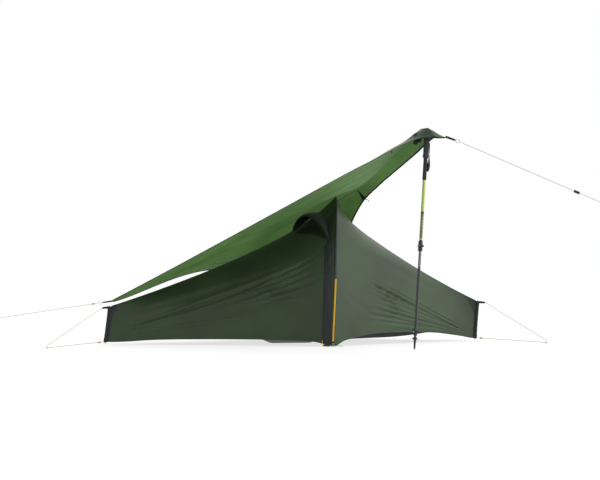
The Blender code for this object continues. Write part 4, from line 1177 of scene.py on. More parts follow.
@dataclass
class PoleSet:
    """Arch pole, end struts, their sleeves, the webbing at the struts and the tension straps.

    Attributes:
        tab_length, tab_width: webbing tab at the top of a strut.
        tab_drop: how far it falls over its length.
        strap_width, strap_thickness: of the tension strap down the arch.
        strap_top: height where it starts.
        buckle_top: height of the foot buckle's top.
        buckle: width, depth and height of the buckle.
        bar: half the thickness of its frame.
    """

    tab_length: float = 0.040
    tab_width: float = 0.016
    tab_drop: float = 0.004
    strap_width: float = 0.011
    strap_thickness: float = 0.0016
    strap_top: float = 0.430
    buckle_top: float = 0.034
    buckle: Point = (0.024, 0.010, 0.026)
    bar: float = 0.0028

    def arch_sleeve(self) -> None:
        """Make the sleeve: a slack tube whose radius ripples by a few hundredths along its length."""
        angle = np.linspace(0.0232, math.pi - 0.0232, 260)
        ripple = 1 + 0.035 * np.sin(angle * 61.0) * np.sin(angle * 23.0 + 1.0)
        ripple[[0, -1]] = 0.97
        section = round_section(ARCH.sleeve_radius * 0.97, 20)
        shape = Shape().carried(ARCH.line(angle), section, RIGHT, ripple)
        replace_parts(shape.piece("arch_pole_sleeve", FLY_DARK_AND_HOOD_SHADE), "arch_sleeve")

    def strut_sleeve(self, strut: Strut) -> None:
        """Make a strut's sleeve, flattened, with the doubled webbing caps at both ends."""
        share = np.linspace(0, 1, 60)
        wide = strut.sleeve_radius * (0.98 - 0.10 * hump(share) + 0.02 * np.sin(share * 40))
        deep = 0.0072 * (1 - 0.06 * hump(share))
        circle = round_section(1.0, 20)
        shape = Shape().carried(strut.line(np.linspace(0.032, 0.984, 60)), circle, BACK,
                                np.stack([wide, deep], axis=1))
        for low, high in ((0.05, 0.14), (0.86, 0.96)):
            size = np.tile((strut.sleeve_radius * 1.03, 0.0080), (8, 1))
            size[[0, -1]] *= 0.97
            shape.carried(strut.line(np.linspace(low, high, 8)), circle, BACK, size)
        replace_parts(shape.piece(f"strut_cover_{strut.end}", DARK_TAPE), f"strut_sleeve_{strut.end}")

    def end_tab(self, strut: Strut) -> None:
        """Make the webbing tab from the strut's top to the guy line, folded back on itself."""
        start = strut.line(0.955) + np.array([strut.side * (strut.sleeve_radius * FLAT_SHARE + 0.0003), 0, 0])
        stop = start + np.array([strut.side * self.tab_length, 0.0, -self.tab_drop])
        share = np.linspace(0, 1, 24)
        size = np.stack([1 - 0.30 * share ** 2, 1 + 0.4 * share ** 4], axis=1)
        section = strap_section(self.tab_width, 0.002)
        shape = Shape().carried(blend_lines(start, stop, share), section, BACK, size)
        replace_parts(shape.piece(f"end_webbing_{strut.end}", DARK_TAPE), f"end_tab_{strut.end}")

    def foot_strap(self, face: int, end: str) -> None:
        """Make the yellow strap that runs down the sleeve to its buckle."""
        heights = np.array([self.strap_top, self.buckle_top])
        angles = np.arcsin((heights - ARCH.foot_z) / (ARCH.height - ARCH.foot_z))
        off = ARCH.sleeve_radius * FLAT_SHARE + self.strap_thickness / 2 + SEAM_GAP
        path = ARCH.line(np.linspace(*angles, 60), off)
        path[:, 1] *= -face
        path[-1, 2] = self.buckle_top + 0.0003
        path[:, 0] += np.linspace(0.004, -0.004, 60)
        section = strap_section(self.strap_width, self.strap_thickness)
        shape = Shape().carried(path, section, (0.0, float(face), 0.0))
        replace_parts(shape.piece(f"tension_strap_{end}", YELLOW_TAPE), f"foot_strap_{end}")

    def foot_buckle(self, face: int, end: str) -> None:
        """Make a ladder buckle: a rounded frame with three bars."""
        wide, deep, tall = self.buckle
        beside = ARCH.half_width + ARCH.sleeve_radius * FLAT_SHARE + SEAM_GAP + deep / 2
        centre = np.array([ARCH.base_x, face * beside, self.buckle_top - tall / 2])
        angle = np.linspace(0, 2 * math.pi, 40, endpoint=False)
        across, up = superellipse(angle, wide / 2 - self.bar, tall / 2 - self.bar, (0.3, 0.3)).T
        frame_line = centre + np.stack([across, 0 * across, up], axis=1)
        shape = Shape().carried(frame_line, round_section(self.bar, 10), BACK, ring=True)
        half = wide / 2 - self.bar
        for height in (-0.004, 0.003, 0.0075):
            rail = centre + between((-half, 0, height), (half, 0, height), 6)
            shape.carried(rail, round_section(0.0022, 8), BACK)
        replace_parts(shape.piece(f"ladder_buckle_{end}", BLACK_NYLON), f"foot_buckle_{end}")

    def foot_toggle(self) -> None:
        """Make the toggle that lies on the ground by the front foot, with two loose cord ends."""
        ground = np.array([ARCH.base_x, -ARCH.half_width - 0.026, 0.0])
        profile = [(0.0, 0.0035), (0.004, 0.0060), (0.040, 0.0060), (0.044, 0.0035)]
        toggle = Shape().turned(ground + (-0.068, 0.0, 0.011), (1.0, 0.0, -0.06), profile, 20)
        for cord in ([(-0.022, 0.0, 0.009), (-0.012, -0.002, 0.004), (0.006, -0.004, 0.009),
                      (0.060, -0.006, 0.004)],
                     [(-0.026, 0.002, 0.010), (-0.016, 0.004, 0.006), (-0.010, 0.006, 0.003)]):
            toggle.carried(spline(ground + np.array(cord), 30), round_section(0.0016, 8), BACK, slot=1)
        toggle.piece("foot_toggle", BLACK_NYLON, YELLOW_TAPE)

    def dress(self) -> None:
        """Make every soft piece and give the rods their finish."""
        self.arch_sleeve()
        for strut in STRUTS:
            self.strut_sleeve(strut)
            self.end_tab(strut)
        for face, end in ((-1, "front"), (1, "rear")):
            self.foot_strap(face, end)
            self.foot_buckle(face, end)
            if end == "front":
                self.foot_toggle()
        refinish(ANODISED, "arch_pole_front", "arch_pole_middle", "arch_pole_rear", "strut_left",
                 "strut_right")
        refinish(LINE, "arch_shock_cord")


@dataclass
class Door:
    """Door zip, its flap, slider and pull, and the vent hood above.

    Attributes:
        panel: the tent half that carries it.
        zip_edges, flap_edges: distances of the edges of the zip's tape and of the flap from the arch.
        zip_top, flap_top: shares up where they end.
        hood_left, hood_right: share along and share up of the hood's two lower corners.
        hood_rim: how far its rim bows up over the line between them, as a share up.
        hood_seam: how far its seam climbs from that line to the ridge.
        hood_reach: how far its rim stands out.
        clear: gap between the panel and its edge.
        teeth: points along the zip's coil, four to a tooth.
    """

    panel: TentHalf
    zip_edges: Share = (0.066, 0.054)
    flap_edges: Share = (0.050, 0.011)
    zip_top: float = 0.50
    flap_top: float = 0.70
    hood_left: Share = (0.818, 0.86)
    hood_right: Share = (0.978, 0.52)
    hood_rim: float = 0.10
    hood_seam: float = 0.88
    hood_reach: float = 0.075
    clear: float = 0.0068
    teeth: int = 1000

    def shares(self, distances: Share) -> Share:
        """Return the shares along the panel at two distances from the arch, the greater one first."""
        far, near = (1 - distance / (ARCH.top_x - self.panel.strut.top_x) for distance in distances)
        return far, near

    def zip(self) -> None:
        """Make the zip: its tape, and a coil whose thickness rises and falls with each tooth."""
        shape = Shape()
        up, along = lattice((0.004, self.zip_top, 160), (*self.shares(self.zip_edges), 5))
        self.panel.layer(shape, -1, along, up, 0.0004, 0.0009)
        up = np.linspace(0.006, self.zip_top - 0.005, self.teeth)
        middle = np.full(self.teeth, sum(self.shares(self.zip_edges)) / 2)
        points, normals = self.panel.panel(-1, middle, up)
        tooth = 1 + 0.28 * np.sin(np.arange(self.teeth) * 2 * math.pi / 4)
        shape.carried(points + normals * 0.0016, strap_section(0.0045, 0.0016, 8), normals, tooth, slot=1)
        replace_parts(shape.piece("door_zip_coil", DARK_TAPE, BLACK_NYLON), "door_zip")
        refinish(BLACK_NYLON, "zip_slider")
        refinish(YELLOW_TAPE, "zip_pull")

    def flap(self) -> None:
        """Make the flap: a strip that waves a few millimetres in and out as it hangs beside the zip."""
        up, part = lattice((0.004, self.flap_top, 160), (0, 1, 14))
        far, near = self.shares(self.flap_edges)
        uneven = 1 + 0.6 * np.sin(up * 31 + 3 * part) + 0.4 * np.sin(up * 77 + 2)
        gap = 0.0005 + np.abs(0.0048 * hump(part) * uneven)
        shape = Shape()
        self.panel.layer(shape, -1, far + (near - far) * part, up, gap, 0.0008)
        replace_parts(shape.piece("door_flap", FLY_DARK_AND_HOOD_SHADE), "storm_flap")

    def hood_base(self, step: Array) -> tuple[Array, Array]:
        """Return shares along and up, straight between the hood's two lower corners."""
        return (self.hood_left[0] + (self.hood_right[0] - self.hood_left[0]) * step,
                self.hood_left[1] + (self.hood_right[1] - self.hood_left[1]) * step)

    def hood_line(self, step: Array, fall: Array, reach: float = 0.0) -> Array:
        """Return points of the hood.

        The seam climbs from the base towards the ridge and the rim by a tenth, both by
        sin(pi t)^0.7, and the rim stands out of the panel.

        Args:
            step: shares from the left corner to the right one.
            fall: shares from the seam down to the rim.
            reach: how much further out the points lie.
        """
        along, base = self.hood_base(step)
        bow = hump(step, 0.7)
        seam = base + (0.985 - base) * bow * self.hood_seam
        points, normals = self.panel.panel(-1, along, seam + (base + self.hood_rim * bow - seam) * fall)
        out = self.clear + self.hood_reach * bow * np.sin(math.pi / 2 * fall) + reach
        return points + normals * out[..., None]

    def hood(self) -> None:
        """Make the hood in dark cloth as painted shade, the stiff cord in its rim, and a dark patch of painted
        shade over the vent beneath it.
        """
        fall, step = lattice((0, 1, 50), (0, 1, 90))
        outside, inside = self.hood_line(step, fall, 0.0008), self.hood_line(step, fall)
        shape = Shape().sheet(*facing((0, -0.4, 1), outside, inside))
        rim = self.hood_line(np.linspace(0.01, 0.99, 120), np.ones(120), 0.0004)
        shape.carried(rim, round_section(0.0028, 10), UP, slot=1)
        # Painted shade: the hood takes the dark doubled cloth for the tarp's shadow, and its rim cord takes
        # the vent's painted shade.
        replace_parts(shape.piece("vent_cowl", FLY_DARK_AND_HOOD_SHADE, VENT_SHADE), "vent_hood")
        # The vent's mesh as a dark patch: painted shade under the hood's rim.
        low, wide = lattice((0, 1, 12), (0.1, 0.9, 60))
        along, base = self.hood_base(wide)
        mesh = Shape()
        self.panel.layer(mesh, -1, along, base - 0.02 + low * 0.10 * hump(wide), 0.0003, 0.0007)
        mesh.piece("vent_mesh_shade", VENT_SHADE)

    def dress(self) -> None:
        """Make the zip, the flap and the hood."""
        self.zip()
        self.flap()
        self.hood()


# Shares of the tarp's right edge from the peak on, and how far it stands out there, in metres.
EDGE_SHARES = (0.0, 0.04, 0.08, 0.12, 0.16, 0.20, 0.24, 0.28, 0.32, 0.36, 0.40, 0.44, 1.0)
EDGE_OUT = (0.0, -0.048, -0.034, -0.014, -0.002, 0.007, 0.013, 0.016, 0.015, 0.013, 0.006, 0.0, 0.0)


@dataclass
class Tarp:
    """Three-cornered tarp from the left strut over the arch to the pole, with its bindings and fittings.

    Attributes:
        left, peak, tip, rear: its corners; the peak is over the pole and the tip hangs past it.
        peak_share: share of the front edge at which the peak lies.
        right_cut, right_power: how far the right edge is cut in at its middle, and how fast that fades.
        rear_cut, rear_power: the same for the rear edge.
        lift: how far the arch pushes it up, over reach, around a point lift_back behind the arch.
        start: share of the length at which the cloth starts, under the left tab.
        fold_depth, fold_count: of the broad folds.
        thickness: of the cloth, thicker than the real 0.05 mm so that both faces render.
        tab_tilt: angle in radians by which the corner tabs twist.
        tab_length: of a corner tab.
        tie_share: share of the right edge at which its tie point lies.
        edge_points: points along an edge.
    """

    left: Point = (-1.262, -0.012, 0.288)
    peak: Point = (0.883, -1.045, 1.360)
    tip: Point = (0.972, -1.045, 1.281)
    rear: Point = (0.350, 1.250, 0.080)
    peak_share: float = 0.945
    right_cut: Point = (-0.190, 0.0, 0.225)
    right_power: float = 4.0
    rear_cut: Point = (0.050, -0.380, 0.322)
    rear_power: float = 1.3
    lift: float = 0.3119
    lift_back: float = 0.220
    reach: Share = (0.34, 0.35)
    start: float = 0.012
    fold_depth: float = 0.010
    fold_count: int = 5
    thickness: float = 0.0009
    tab_tilt: float = 0.7
    tab_length: float = 0.052
    tie_share: float = 0.435
    edge_points: int = 260

    def shares(self, count: int) -> Array:
        """Return shares of the length from the left corner outward, with one at the peak."""
        before = np.linspace(self.start, self.peak_share, count - count // 8)
        return np.concatenate([before, np.linspace(self.peak_share, 1.0, count // 8 + 1)[1:]])

    def surface(self, u: Array, v: Array) -> Array:
        """Return points of the cloth's middle.

        The straight front edge and the bowed rear edge are joined by straight rows, v from one to
        the other. The right cut is added as u^4 sin(pi v), the arch's lift as a bell
        exp(-x^2 - y^2), the broad folds as cos(10 pi v), and the fine folds where the arch leaves
        the cloth free.

        Args:
            u: share of the length from the left corner.
            v: share from the front edge to the rear edge.
        """
        left, peak, tip, rear = (np.asarray(c) for c in (self.left, self.peak, self.tip, self.rear))
        wide, deep = u[..., None], v[..., None]
        climb = np.clip(wide / self.peak_share, 0, 1)
        past = np.clip((wide - self.peak_share) / (1 - self.peak_share), 0, 1)
        front = left + (peak - left) * climb + (tip - peak) * past
        back = left + (rear - left) * wide + hump(wide, self.rear_power) * np.asarray(self.rear_cut)
        points = front * (1 - deep) + back * deep
        points = points + wide ** self.right_power * hump(deep) * np.asarray(self.right_cut)
        pushed = (bell(points[..., 0], ARCH.top_x, self.reach[0])
                  * bell(points[..., 1], self.lift_back, self.reach[1]))
        points[..., 2] += self.lift * pushed * (1 - u ** 8)
        broad = np.cos(2 * math.pi * self.fold_count * v)
        points[..., 2] += self.fold_depth * broad * hump(u) * hump(v, 2)
        points[..., 2] += self.droop(u, v)
        points += self.edge_shift(u, v)
        points[..., 2] += self.folds(u, v, 1 - pushed)
        return points

    def spot(self, u: float, v: float) -> Array:
        """Return the point of the cloth's middle at one pair of shares."""
        return self.surface(np.array([u]), np.array([v]))[0]

    def droop(self, u: Array, v: Array) -> Array:
        """Return how far the cloth hangs down in front of the pole's top.

        Along v it is a fall (1 - v / 0.02)^1.5 at the front edge, which fades away from the peak along
        u as a bell. A narrower bell rounds the peak off.
        """
        away = u - self.peak_share
        near = bell(away, 0, np.where(away < 0, 0.030, 0.050)) * (1 - np.clip(away / 0.055, 0, 1) ** 4)
        round_off = 0.012 * bell(away, 0, 0.016) * bell(v, 0, 0.12)
        return -0.055 * near * np.clip(1 - v / 0.02, 0, 1) ** 1.5 - round_off

    def edge_shift(self, u: Array, v: Array) -> Array:
        """Return how far the right edge stands out or in, and how far the front edge sags.

        The first is read from the edge's table and fades inwards as u^6. The sag is
        0.014 sin(pi w)^0.4 between the left corner and the peak, plus two bells near the peak.
        """
        out = u ** 6 * np.interp(v, EDGE_SHARES, EDGE_OUT)
        way = np.clip(u / self.peak_share, 0, 1)
        sag = 0.014 * hump(way, 0.4) + 0.010 * bell(way, 0.88, 0.08) + 0.018 * bell(way, 0.955, 0.035)
        sag = sag * bell(v, 0, 0.08)
        return out[..., None] * np.array([0.75, 0.0, -0.65]) - sag[..., None] * np.array(UP)

    def folds(self, u: Array, v: Array, free: Array) -> Array:
        """Return the height of the fine folds, which leave the left corner and fade out over the arch.

        Each is a narrow valley at one share v, as -(1 - d^2) exp(-d^2 / 2) with d the distance in
        fold widths, and all fade in and out with sin(pi u).
        """
        random = np.random.default_rng(11)
        places = np.linspace(0.10, 0.93, 13) + 0.02 * random.random(13)
        depths = 0.0022 + 0.0030 * random.random(13)
        widths = 0.012 + 0.010 * random.random(13)
        distance = (v[..., None] - places) / widths
        valley = np.sum(-depths * (1 - distance ** 2) * np.exp(-distance ** 2 / 2), axis=-1)
        return valley * hump(u, 0.8) * np.clip(free, 0, 1) ** 2

    def edge(self, name: str) -> tuple[Array, Array, Array]:
        """Return points along one edge, the way out of the cloth, and the cloth's normals there."""
        share = np.linspace(0.0, 1.0, self.edge_points)
        length = self.start + (1 - self.start) * share
        u, v, inside = {"front": (length, 0 * share, (0.0, 0.004)),
                        "rear": (length, 0 * share + 1, (0.0, -0.004)),
                        "right": (0 * share + 1, share, (-0.004, 0.0))}[name]
        line = self.surface(u, v)
        along = unit(np.gradient(line, axis=0))
        out = unit(line - self.surface(u + inside[0], v + inside[1]))
        out = unit(out - along * np.sum(out * along, axis=-1, keepdims=True))
        up = np.cross(along, out)
        return line, out, unit(up * np.sign(up[:, 2:3]))

    def cloth(self) -> None:
        """Make the cloth, dark green outside, and beneath a lighter green with a painted glow that stands for
        the light coming through.
        """
        v, u = np.meshgrid(np.linspace(0, 1, 150) ** 1.5, self.shares(170), indexing="ij")
        points, = facing(UP, self.surface(u, v))
        half = surface_normals(points) * self.thickness / 2
        shape = Shape().sheet(points + half, points - half, (0, 1, 0))
        made = shape.piece("tarp_cloth", TARP_TOP, TARP_UNDER_GLOW)
        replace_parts(made, "tarp")
        bindings = [self.binding(name) for name in ("front", "rear", "right")]
        width, length, area = cloth_size(points)

    def binding(self, name: str) -> Object:
        """Make the tape folded over one edge: a flattened tube that grips the cloth."""
        line, out, up = self.edge(name)
        path = (line + out * 0.0012)[3:-3]
        shape = Shape().carried(path, strap_section(0.0105, 0.0030, 14), up[3:-3])
        made = shape.piece(f"tarp_tape_{name}", DARK_TAPE)
        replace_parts(made, f"tarp_binding_{name}")
        return made

    def tab(self, name: str, way: Array) -> None:
        """Make a corner's webbing tab, a tape that narrows and thickens outward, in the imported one's place.

        Args:
            name: the corner's name.
            way: direction out of the corner.
        """
        way = unit(way)
        middle = np.array(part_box(f"tarp_tab_{name}")).mean(axis=0)
        half = way * self.tab_length / 2
        path = blend_lines(middle - half - way * 0.012, middle + half, np.linspace(0.0, 0.98, 30))
        across = unit(np.cross(way, UP))
        share = np.linspace(0, 1, 30)
        taper = np.stack([1 - 0.28 * share ** 2, 1 + 0.25 * share ** 3], axis=1)
        tilted = np.cross(way, across) * math.cos(self.tab_tilt) + across * math.sin(self.tab_tilt)
        shape = Shape().carried(path, strap_section(0.018, 0.002), tilted, taper)
        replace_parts(shape.piece(f"tarp_webbing_{name}", DARK_TAPE), f"tarp_tab_{name}")

    def peak_patch(self) -> None:
        """Make the doubled cloth at the peak, above and below, that takes the pole's top."""
        shape = Shape()
        for sign in (1.0, -1.0):
            v, u = lattice((0.006, 0.046, 16), (0.922, 0.962, 24))
            points, = facing((0, 0, sign), self.surface(u, v))
            normals = surface_normals(points)
            shape.sheet(points + normals * 0.0014, points + normals * 0.0006)
        shape.piece("tarp_peak_patch", TARP_PATCH)

    def hanging_tapes(self) -> None:
        """Make the two tapes that hang under the cloth beside the pole, and the bead on the front hem."""
        shape = Shape()
        fall = np.linspace(0, 1, 20)
        taper = np.stack([1 - 0.25 * fall ** 3, np.ones(20)], axis=1)
        for place, turn, length in ((0.924, -0.20, 0.062), (0.928, 0.05, 0.056)):
            path = (self.spot(place, 0.030) + (0.0, 0.0, -0.0025)
                    + fall[:, None] * (turn * length, 0.004, -length)
                    + hump(fall)[:, None] * (0.006, -0.004, 0.0))
            shape.carried(path, strap_section(0.034, 0.0016, 12), (0.35, -1.0, 0.0), taper)
        shape.piece("tarp_hanging_tapes", DARK_TAPE)
        line, _, up = self.edge("front")
        number = int(0.837 * (self.edge_points - 1))
        profile = [(0, 0.0016), (0.002, 0.0045), (0.012, 0.0050), (0.016, 0.0030)]
        shape = Shape().turned(line[number] - up[number] * 0.004, (0, -0.3, -1), profile, 20)
        shape.piece("tarp_hem_bead", BLACK_NYLON)

    def side_tie(self) -> None:
        """Make the tie point on the right edge: a three-cornered patch, its tail and its line to the arch."""
        u, across = lattice((0.945, 0.997, 14), (-1, 1, 13))
        points, = facing(UP, self.surface(u, self.tie_share + across * 0.0095 * (u - 0.940) / 0.057))
        half = surface_normals(points) * 0.0014
        shape = Shape().sheet(points + half, points - half)
        line, out, _ = self.edge("right")
        number = int(self.tie_share * (self.edge_points - 1))
        begin = line[number] + out[number] * 0.004
        path = spline(begin + np.array([(0, 0, 0), (0.018, -0.010, -0.006), (0.026, -0.016, -0.020)]), 16)
        shape.carried(path, round_section(0.0018, 8), BACK)
        inner = self.spot(0.945, self.tie_share)
        arch_top = (ARCH.top_x + ARCH.sleeve_radius + 0.004, inner[1] * 0.25, ARCH.height - 0.020)
        shape.carried(between(inner, arch_top, 12), round_section(0.0014, 8), BACK)
        shape.piece("tarp_side_tie", DARK_TAPE)

    def dress(self) -> None:
        """Make the cloth, bindings, tabs, patch, tapes and tie, and give the rings their finish."""
        self.cloth()
        self.tab("peak", np.array([0.112, 0.0, -0.042]))
        self.tab("left", np.array(Lines.far_left) - self.left)
        self.tab("rear", np.array([*Lines.rear_peg, 0.0]) - self.rear)
        self.peak_patch()
        self.hanging_tapes()
        self.side_tie()
        refinish(STEEL, "tarp_ring_left", "tarp_ring_peak")
        refinish(BLACK_NYLON, "tarp_pole_cup")


@dataclass
class InnerTent:
    """Tub floor and inner canopy, hung inside from the arch.

    Attributes:
        side_gap, end_gap, top_gap: how far it stays inside the fly.
        end_half: half its width at the ends.
        wall: height of the tub's side.
        flare: how far the side leans out.
        lift: height of the floor's edges over the ground.
        end_rise: how much higher its ends are.
        rest: half the length and width of the middle that sags onto the ground.
        rest_reach: distance along the tent at which the sag ends.
    """

    side_gap: float = 0.100
    end_gap: float = 0.180
    top_gap: float = 0.055
    end_half: float = 0.020
    wall: float = 0.095
    flare: float = 0.010
    lift: float = 0.040
    end_rise: float = 0.004
    rest: Share = (0.12, 0.06)
    rest_reach: float = 0.24

    def stations(self, count: int) -> Array:
        """Return places along the tent from the left end to the right end of the inner tent."""
        return np.linspace(LEFT_STRUT.base_x + self.end_gap, RIGHT_STRUT.base_x - self.end_gap, count)

    def end(self, x: Array) -> Array:
        """Return the place of the inner tent's end on the same side of the arch."""
        return np.where(x < ARCH.base_x, *self.stations(2))

    def half_width(self, x: Array) -> Array:
        """Return half the width: end_half at the ends, and the arch's less the gap at the arch."""
        share = (x - self.end(x)) / (ARCH.base_x - self.end(x))
        growth = ARCH.half_width - self.side_gap - self.end_half
        return self.end_half + growth * share * (0.90 + 0.10 * share)

    def floor_height(self, x: Array) -> Array:
        """Return the floor's height, which rises by the square of the way to either end.

        Towards the right end it rises by 20 mm more, where the picture shows the hem clear of it.
        """
        further = 0.020 * np.clip((x - 0.62) / 0.30, 0, 1) ** 2
        return self.lift + self.end_rise * np.clip(x / self.end(x), 0, 1) ** 2 + further

    def ridge(self, x: Array) -> Array:
        """Return the height of the fly's ridge over a place along the tent."""
        heights = []
        for half in (LEFT_HALF, RIGHT_HALF):
            top = half.strut
            share = np.clip((x - top.top_x) / (ARCH.top_x - top.top_x), 0, 1)
            heights.append(top.height + (ARCH.height - top.height) * half.rise(share))
        return np.where(x < ARCH.top_x, *heights)

    def sheet(self, name: str, finish: Finish, grid: Array, way: Point, thickness: float) -> Object:
        """Make a cloth from a grid of places, facing a way.

        Args:
            name: the piece's name.
            finish: its finish.
            grid: places of its outside.
            way: direction in which the outside faces.
            thickness: of the cloth.
        """
        outer, = facing(way, grid)
        return Shape().sheet(outer, outer - surface_normals(outer) * thickness).piece(name, finish)

    def tub(self) -> None:
        """Make the tub: a flat floor with walls that lean out, in one coated cloth."""
        x = self.stations(120)
        half, floor = self.half_width(x), self.floor_height(x)
        share = np.concatenate([np.linspace(-1.25, -1, 8), np.linspace(-0.98, 0.98, 40),
                                np.linspace(1, 1.25, 8)])
        over = np.clip((np.abs(share) - 1) * 4, 0, 1)[:, None]
        inward = np.clip(np.abs(share), 0, 1)[:, None]
        end = np.minimum(x - x[0], x[-1] - x)
        turned_up = np.clip(1 - end / 0.03, 0, 1) * (self.wall - 0.004)
        y = np.sign(share)[:, None] * (half * inward + self.flare * over)
        away = np.clip((np.abs(x) - self.rest[0]) / (self.rest_reach - self.rest[0]), 0, 1)
        aside = np.clip((np.abs(y) - self.rest[1]) / np.maximum(half - self.rest[1], 0.01), 0, 1)
        sag = self.lift * (1 - away ** 2 * (3 - 2 * away)) * (1 - aside ** 2 * (3 - 2 * aside))
        z = floor - sag + np.maximum(over * self.wall, turned_up)
        grid = np.stack([np.broadcast_to(x, y.shape), y, z], axis=-1)
        made = self.sheet("tub_floor", FLOOR, grid, (0, 0, -1), 0.0012)
        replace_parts(made, "groundsheet")

    def canopy(self) -> None:
        """Make the canopy: an arched cloth from one wall of the tub over to the other."""
        x = self.stations(110)
        bottom = self.floor_height(x) + self.wall + 0.0003
        peak = np.maximum(self.ridge(x) - self.top_gap, self.lift + self.wall + 0.03)
        angle = np.linspace(0, math.pi, 70)[:, None]
        y = -np.cos(angle) * (self.half_width(x) + self.flare)
        z = bottom + np.sin(angle) ** 1.05 * (peak - bottom)
        grid = np.stack([np.broadcast_to(x, y.shape), y, z], axis=-1)
        made = self.sheet("inner_tent_cloth", INNER, grid, UP, 0.0008)
        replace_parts(made, "inner_canopy")

    def hanger(self) -> None:
        """Make the tape that hangs the inner tent from the arch."""
        low, high = (np.array(corner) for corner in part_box("inner_hanger"))
        x, y, _ = (low + high) / 2
        path = between((x, y, low[2]), (x, y, high[2]), 16)
        shape = Shape().carried(path, strap_section(0.014, 0.002), RIGHT)
        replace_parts(shape.piece("inner_hanging_tape", DARK_TAPE), "inner_hanger")

    def dress(self) -> None:
        """Make the tub, the canopy and the hanger."""
        self.tub()
        self.canopy()
        self.hanger()


@dataclass
class TrekkingPole:
    """Telescopic trekking pole that holds the tarp's peak up.

    Attributes:
        foot: the tip's place on the ground.
        axis: direction up the pole.
        side: direction square to it, along which the levers lie.
        length: from the ground to the top of the grip.
        lower, middle, upper: radii of the three tubes.
        grip_start: height at which the handle follows the foam sleeve.
        grip_bore: radius of the hole in both.
    """

    foot: Point = (0.755, -1.000, 0.0)
    axis: Point = (0.06964, 0.0051, 0.99756)
    side: Point = (0.99757, -0.00036, -0.06964)
    length: float = 1.3027
    lower: float = 0.0068
    middle: float = 0.0081
    upper: float = 0.0094
    grip_start: float = 1.1600
    grip_bore: float = 0.0096

    def at(self, height: float, across: float = 0.0, out: float = 0.0) -> Array:
        """Return the place at a height up the pole, across to its side and out towards the front."""
        return (np.array(self.foot) + np.array(self.axis) * height + np.array(self.side) * across
                + np.array([0.0, -out, 0.0]))

    def turned(self, profile: list[Share] | Array, slot: int = 0, bore: float = 0.0,
               shape: Shape | None = None, ripple: Array | None = None, sides: int = 32) -> Shape:
        """Add a profile of (height, radius) turned round the pole to a shape, or to a new one."""
        return (shape or Shape()).turned(self.foot, self.axis, profile, sides, slot, ripple, bore)

    def tip(self) -> None:
        """Make the steel tip in its ribbed nylon sleeve."""
        shape = self.turned([(0.0005, 0.0010), (0.0016, 0.0019), (0.0075, 0.0021)], 1)
        ribs = [(0.0075, 0.0042), (0.010, 0.0050)]
        for k in range(7):
            low, radius = 0.014 + 0.0062 * k, 0.0054 + 0.00030 * k
            ribs += [(low, radius - 0.0003), (low + 0.0008, radius), (low + 0.0034, radius),
                     (low + 0.0042, radius - 0.0003)]
        self.turned(ribs + [(0.0575, 0.0076), (0.0620, 0.0076)], shape=shape)
        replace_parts(shape.piece("pole_tip_sleeve", BLACK_NYLON, STEEL, body="pole_lower"), "pole_tip")

    def basket(self) -> None:
        """Make the basket, a disc whose rim has six notches."""
        rim = np.ones((9, 48))
        rim[2:5] -= 0.055 * (np.cos(np.arange(48) * 2 * math.pi / 6) > 0.4)
        profile = [(0.0640, 0.0078), (0.0652, 0.0118), (0.0676, 0.0178), (0.0694, 0.0190), (0.0712, 0.0186),
                   (0.0728, 0.0138), (0.0765, 0.0108), (0.0800, 0.0100), (0.0820, 0.0092)]
        shape = self.turned(profile, ripple=rim, sides=48)
        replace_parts(shape.piece("pole_basket_disc", BLACK_NYLON, body="pole_lower"), "pole_basket")

    def tubes(self) -> None:
        """Make the lower rod, and the other two tubes of painted lengths round an open bore."""
        lower = self.turned([(0.0623, 0.0066), (0.0630, self.lower), (0.4990, self.lower), (0.5000, 0.0066)])
        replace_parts(lower.piece("pole_lower_tube", DARK_ENAMEL, body="pole_lower"), "pole_lower_shaft")
        middle, upper = Shape(), Shape()
        for low, high, slot in ((0.0908, 0.5030, 0), (0.5030, 0.7600, 1)):
            self.turned([(low, self.middle), (high, self.middle)], slot, 0.0072, middle)
        for low, high, slot in ((0.6008, 0.6690, 1), (0.6690, 0.6765, 2), (0.6765, 0.8220, 3),
                                (0.8220, 0.8400, 1), (0.8400, 0.8425, 2), (0.8425, 1.0450, 0),
                                (1.0450, self.length - 0.030, 1)):
            self.turned([(low, self.upper), (high, self.upper)], slot, 0.0085, upper)
        made = middle.piece("pole_middle_tube", DARK_ENAMEL, GREY_TUBE, body="pole_middle")
        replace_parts(made, "pole_middle_shaft")
        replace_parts(upper.piece("pole_upper_tube", LIME, DARK_ENAMEL, LIME_PALE, BARRED), "pole_upper_shaft")

    def clamp(self, name: str, low: float, tall: float, tube: float, body: str) -> None:
        """Make a clamp: a stepped collar with a slot down it, the lug its lever turns on, and the lever.

        Args:
            name: lower or upper.
            low: height of its lower end.
            tall: its own height.
            tube: radius of the tube in it.
            body: the body that the collar rides on.
        """
        wall = tube + 0.0042
        steps = [(0.0, 0.0, -0.0012), (0.0, 0.0014, -0.0004), (0.16, 0.0, -0.0002), (0.20, 0.0, 0.0),
                 (0.78, 0.0, 0.0), (0.82, 0.0, -0.0008), (0.94, 0.0, -0.0008), (1.0, -0.0010, -0.0016),
                 (1.0, 0.0, -0.0020)]
        profile = [(low + share * tall + more, wall + wider) for share, more, wider in steps]
        ripple = np.ones((len(profile), 48))
        ripple[3:5, 34:38] = 0.90
        shape = self.turned(profile, 0, tube + 0.0004, ripple=ripple, sides=48)
        middle = low + tall / 2
        lug = between(self.at(middle - 0.0085, -0.0125, wall - 0.0062),
                      self.at(middle + 0.0085, -0.0125, wall - 0.0062), 8)
        shape.carried(lug, round_section(0.0048, 20), BACK)
        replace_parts(shape.piece(f"pole_{name}_collar", BLACK_NYLON, body=body), f"pole_{name}_clamp")

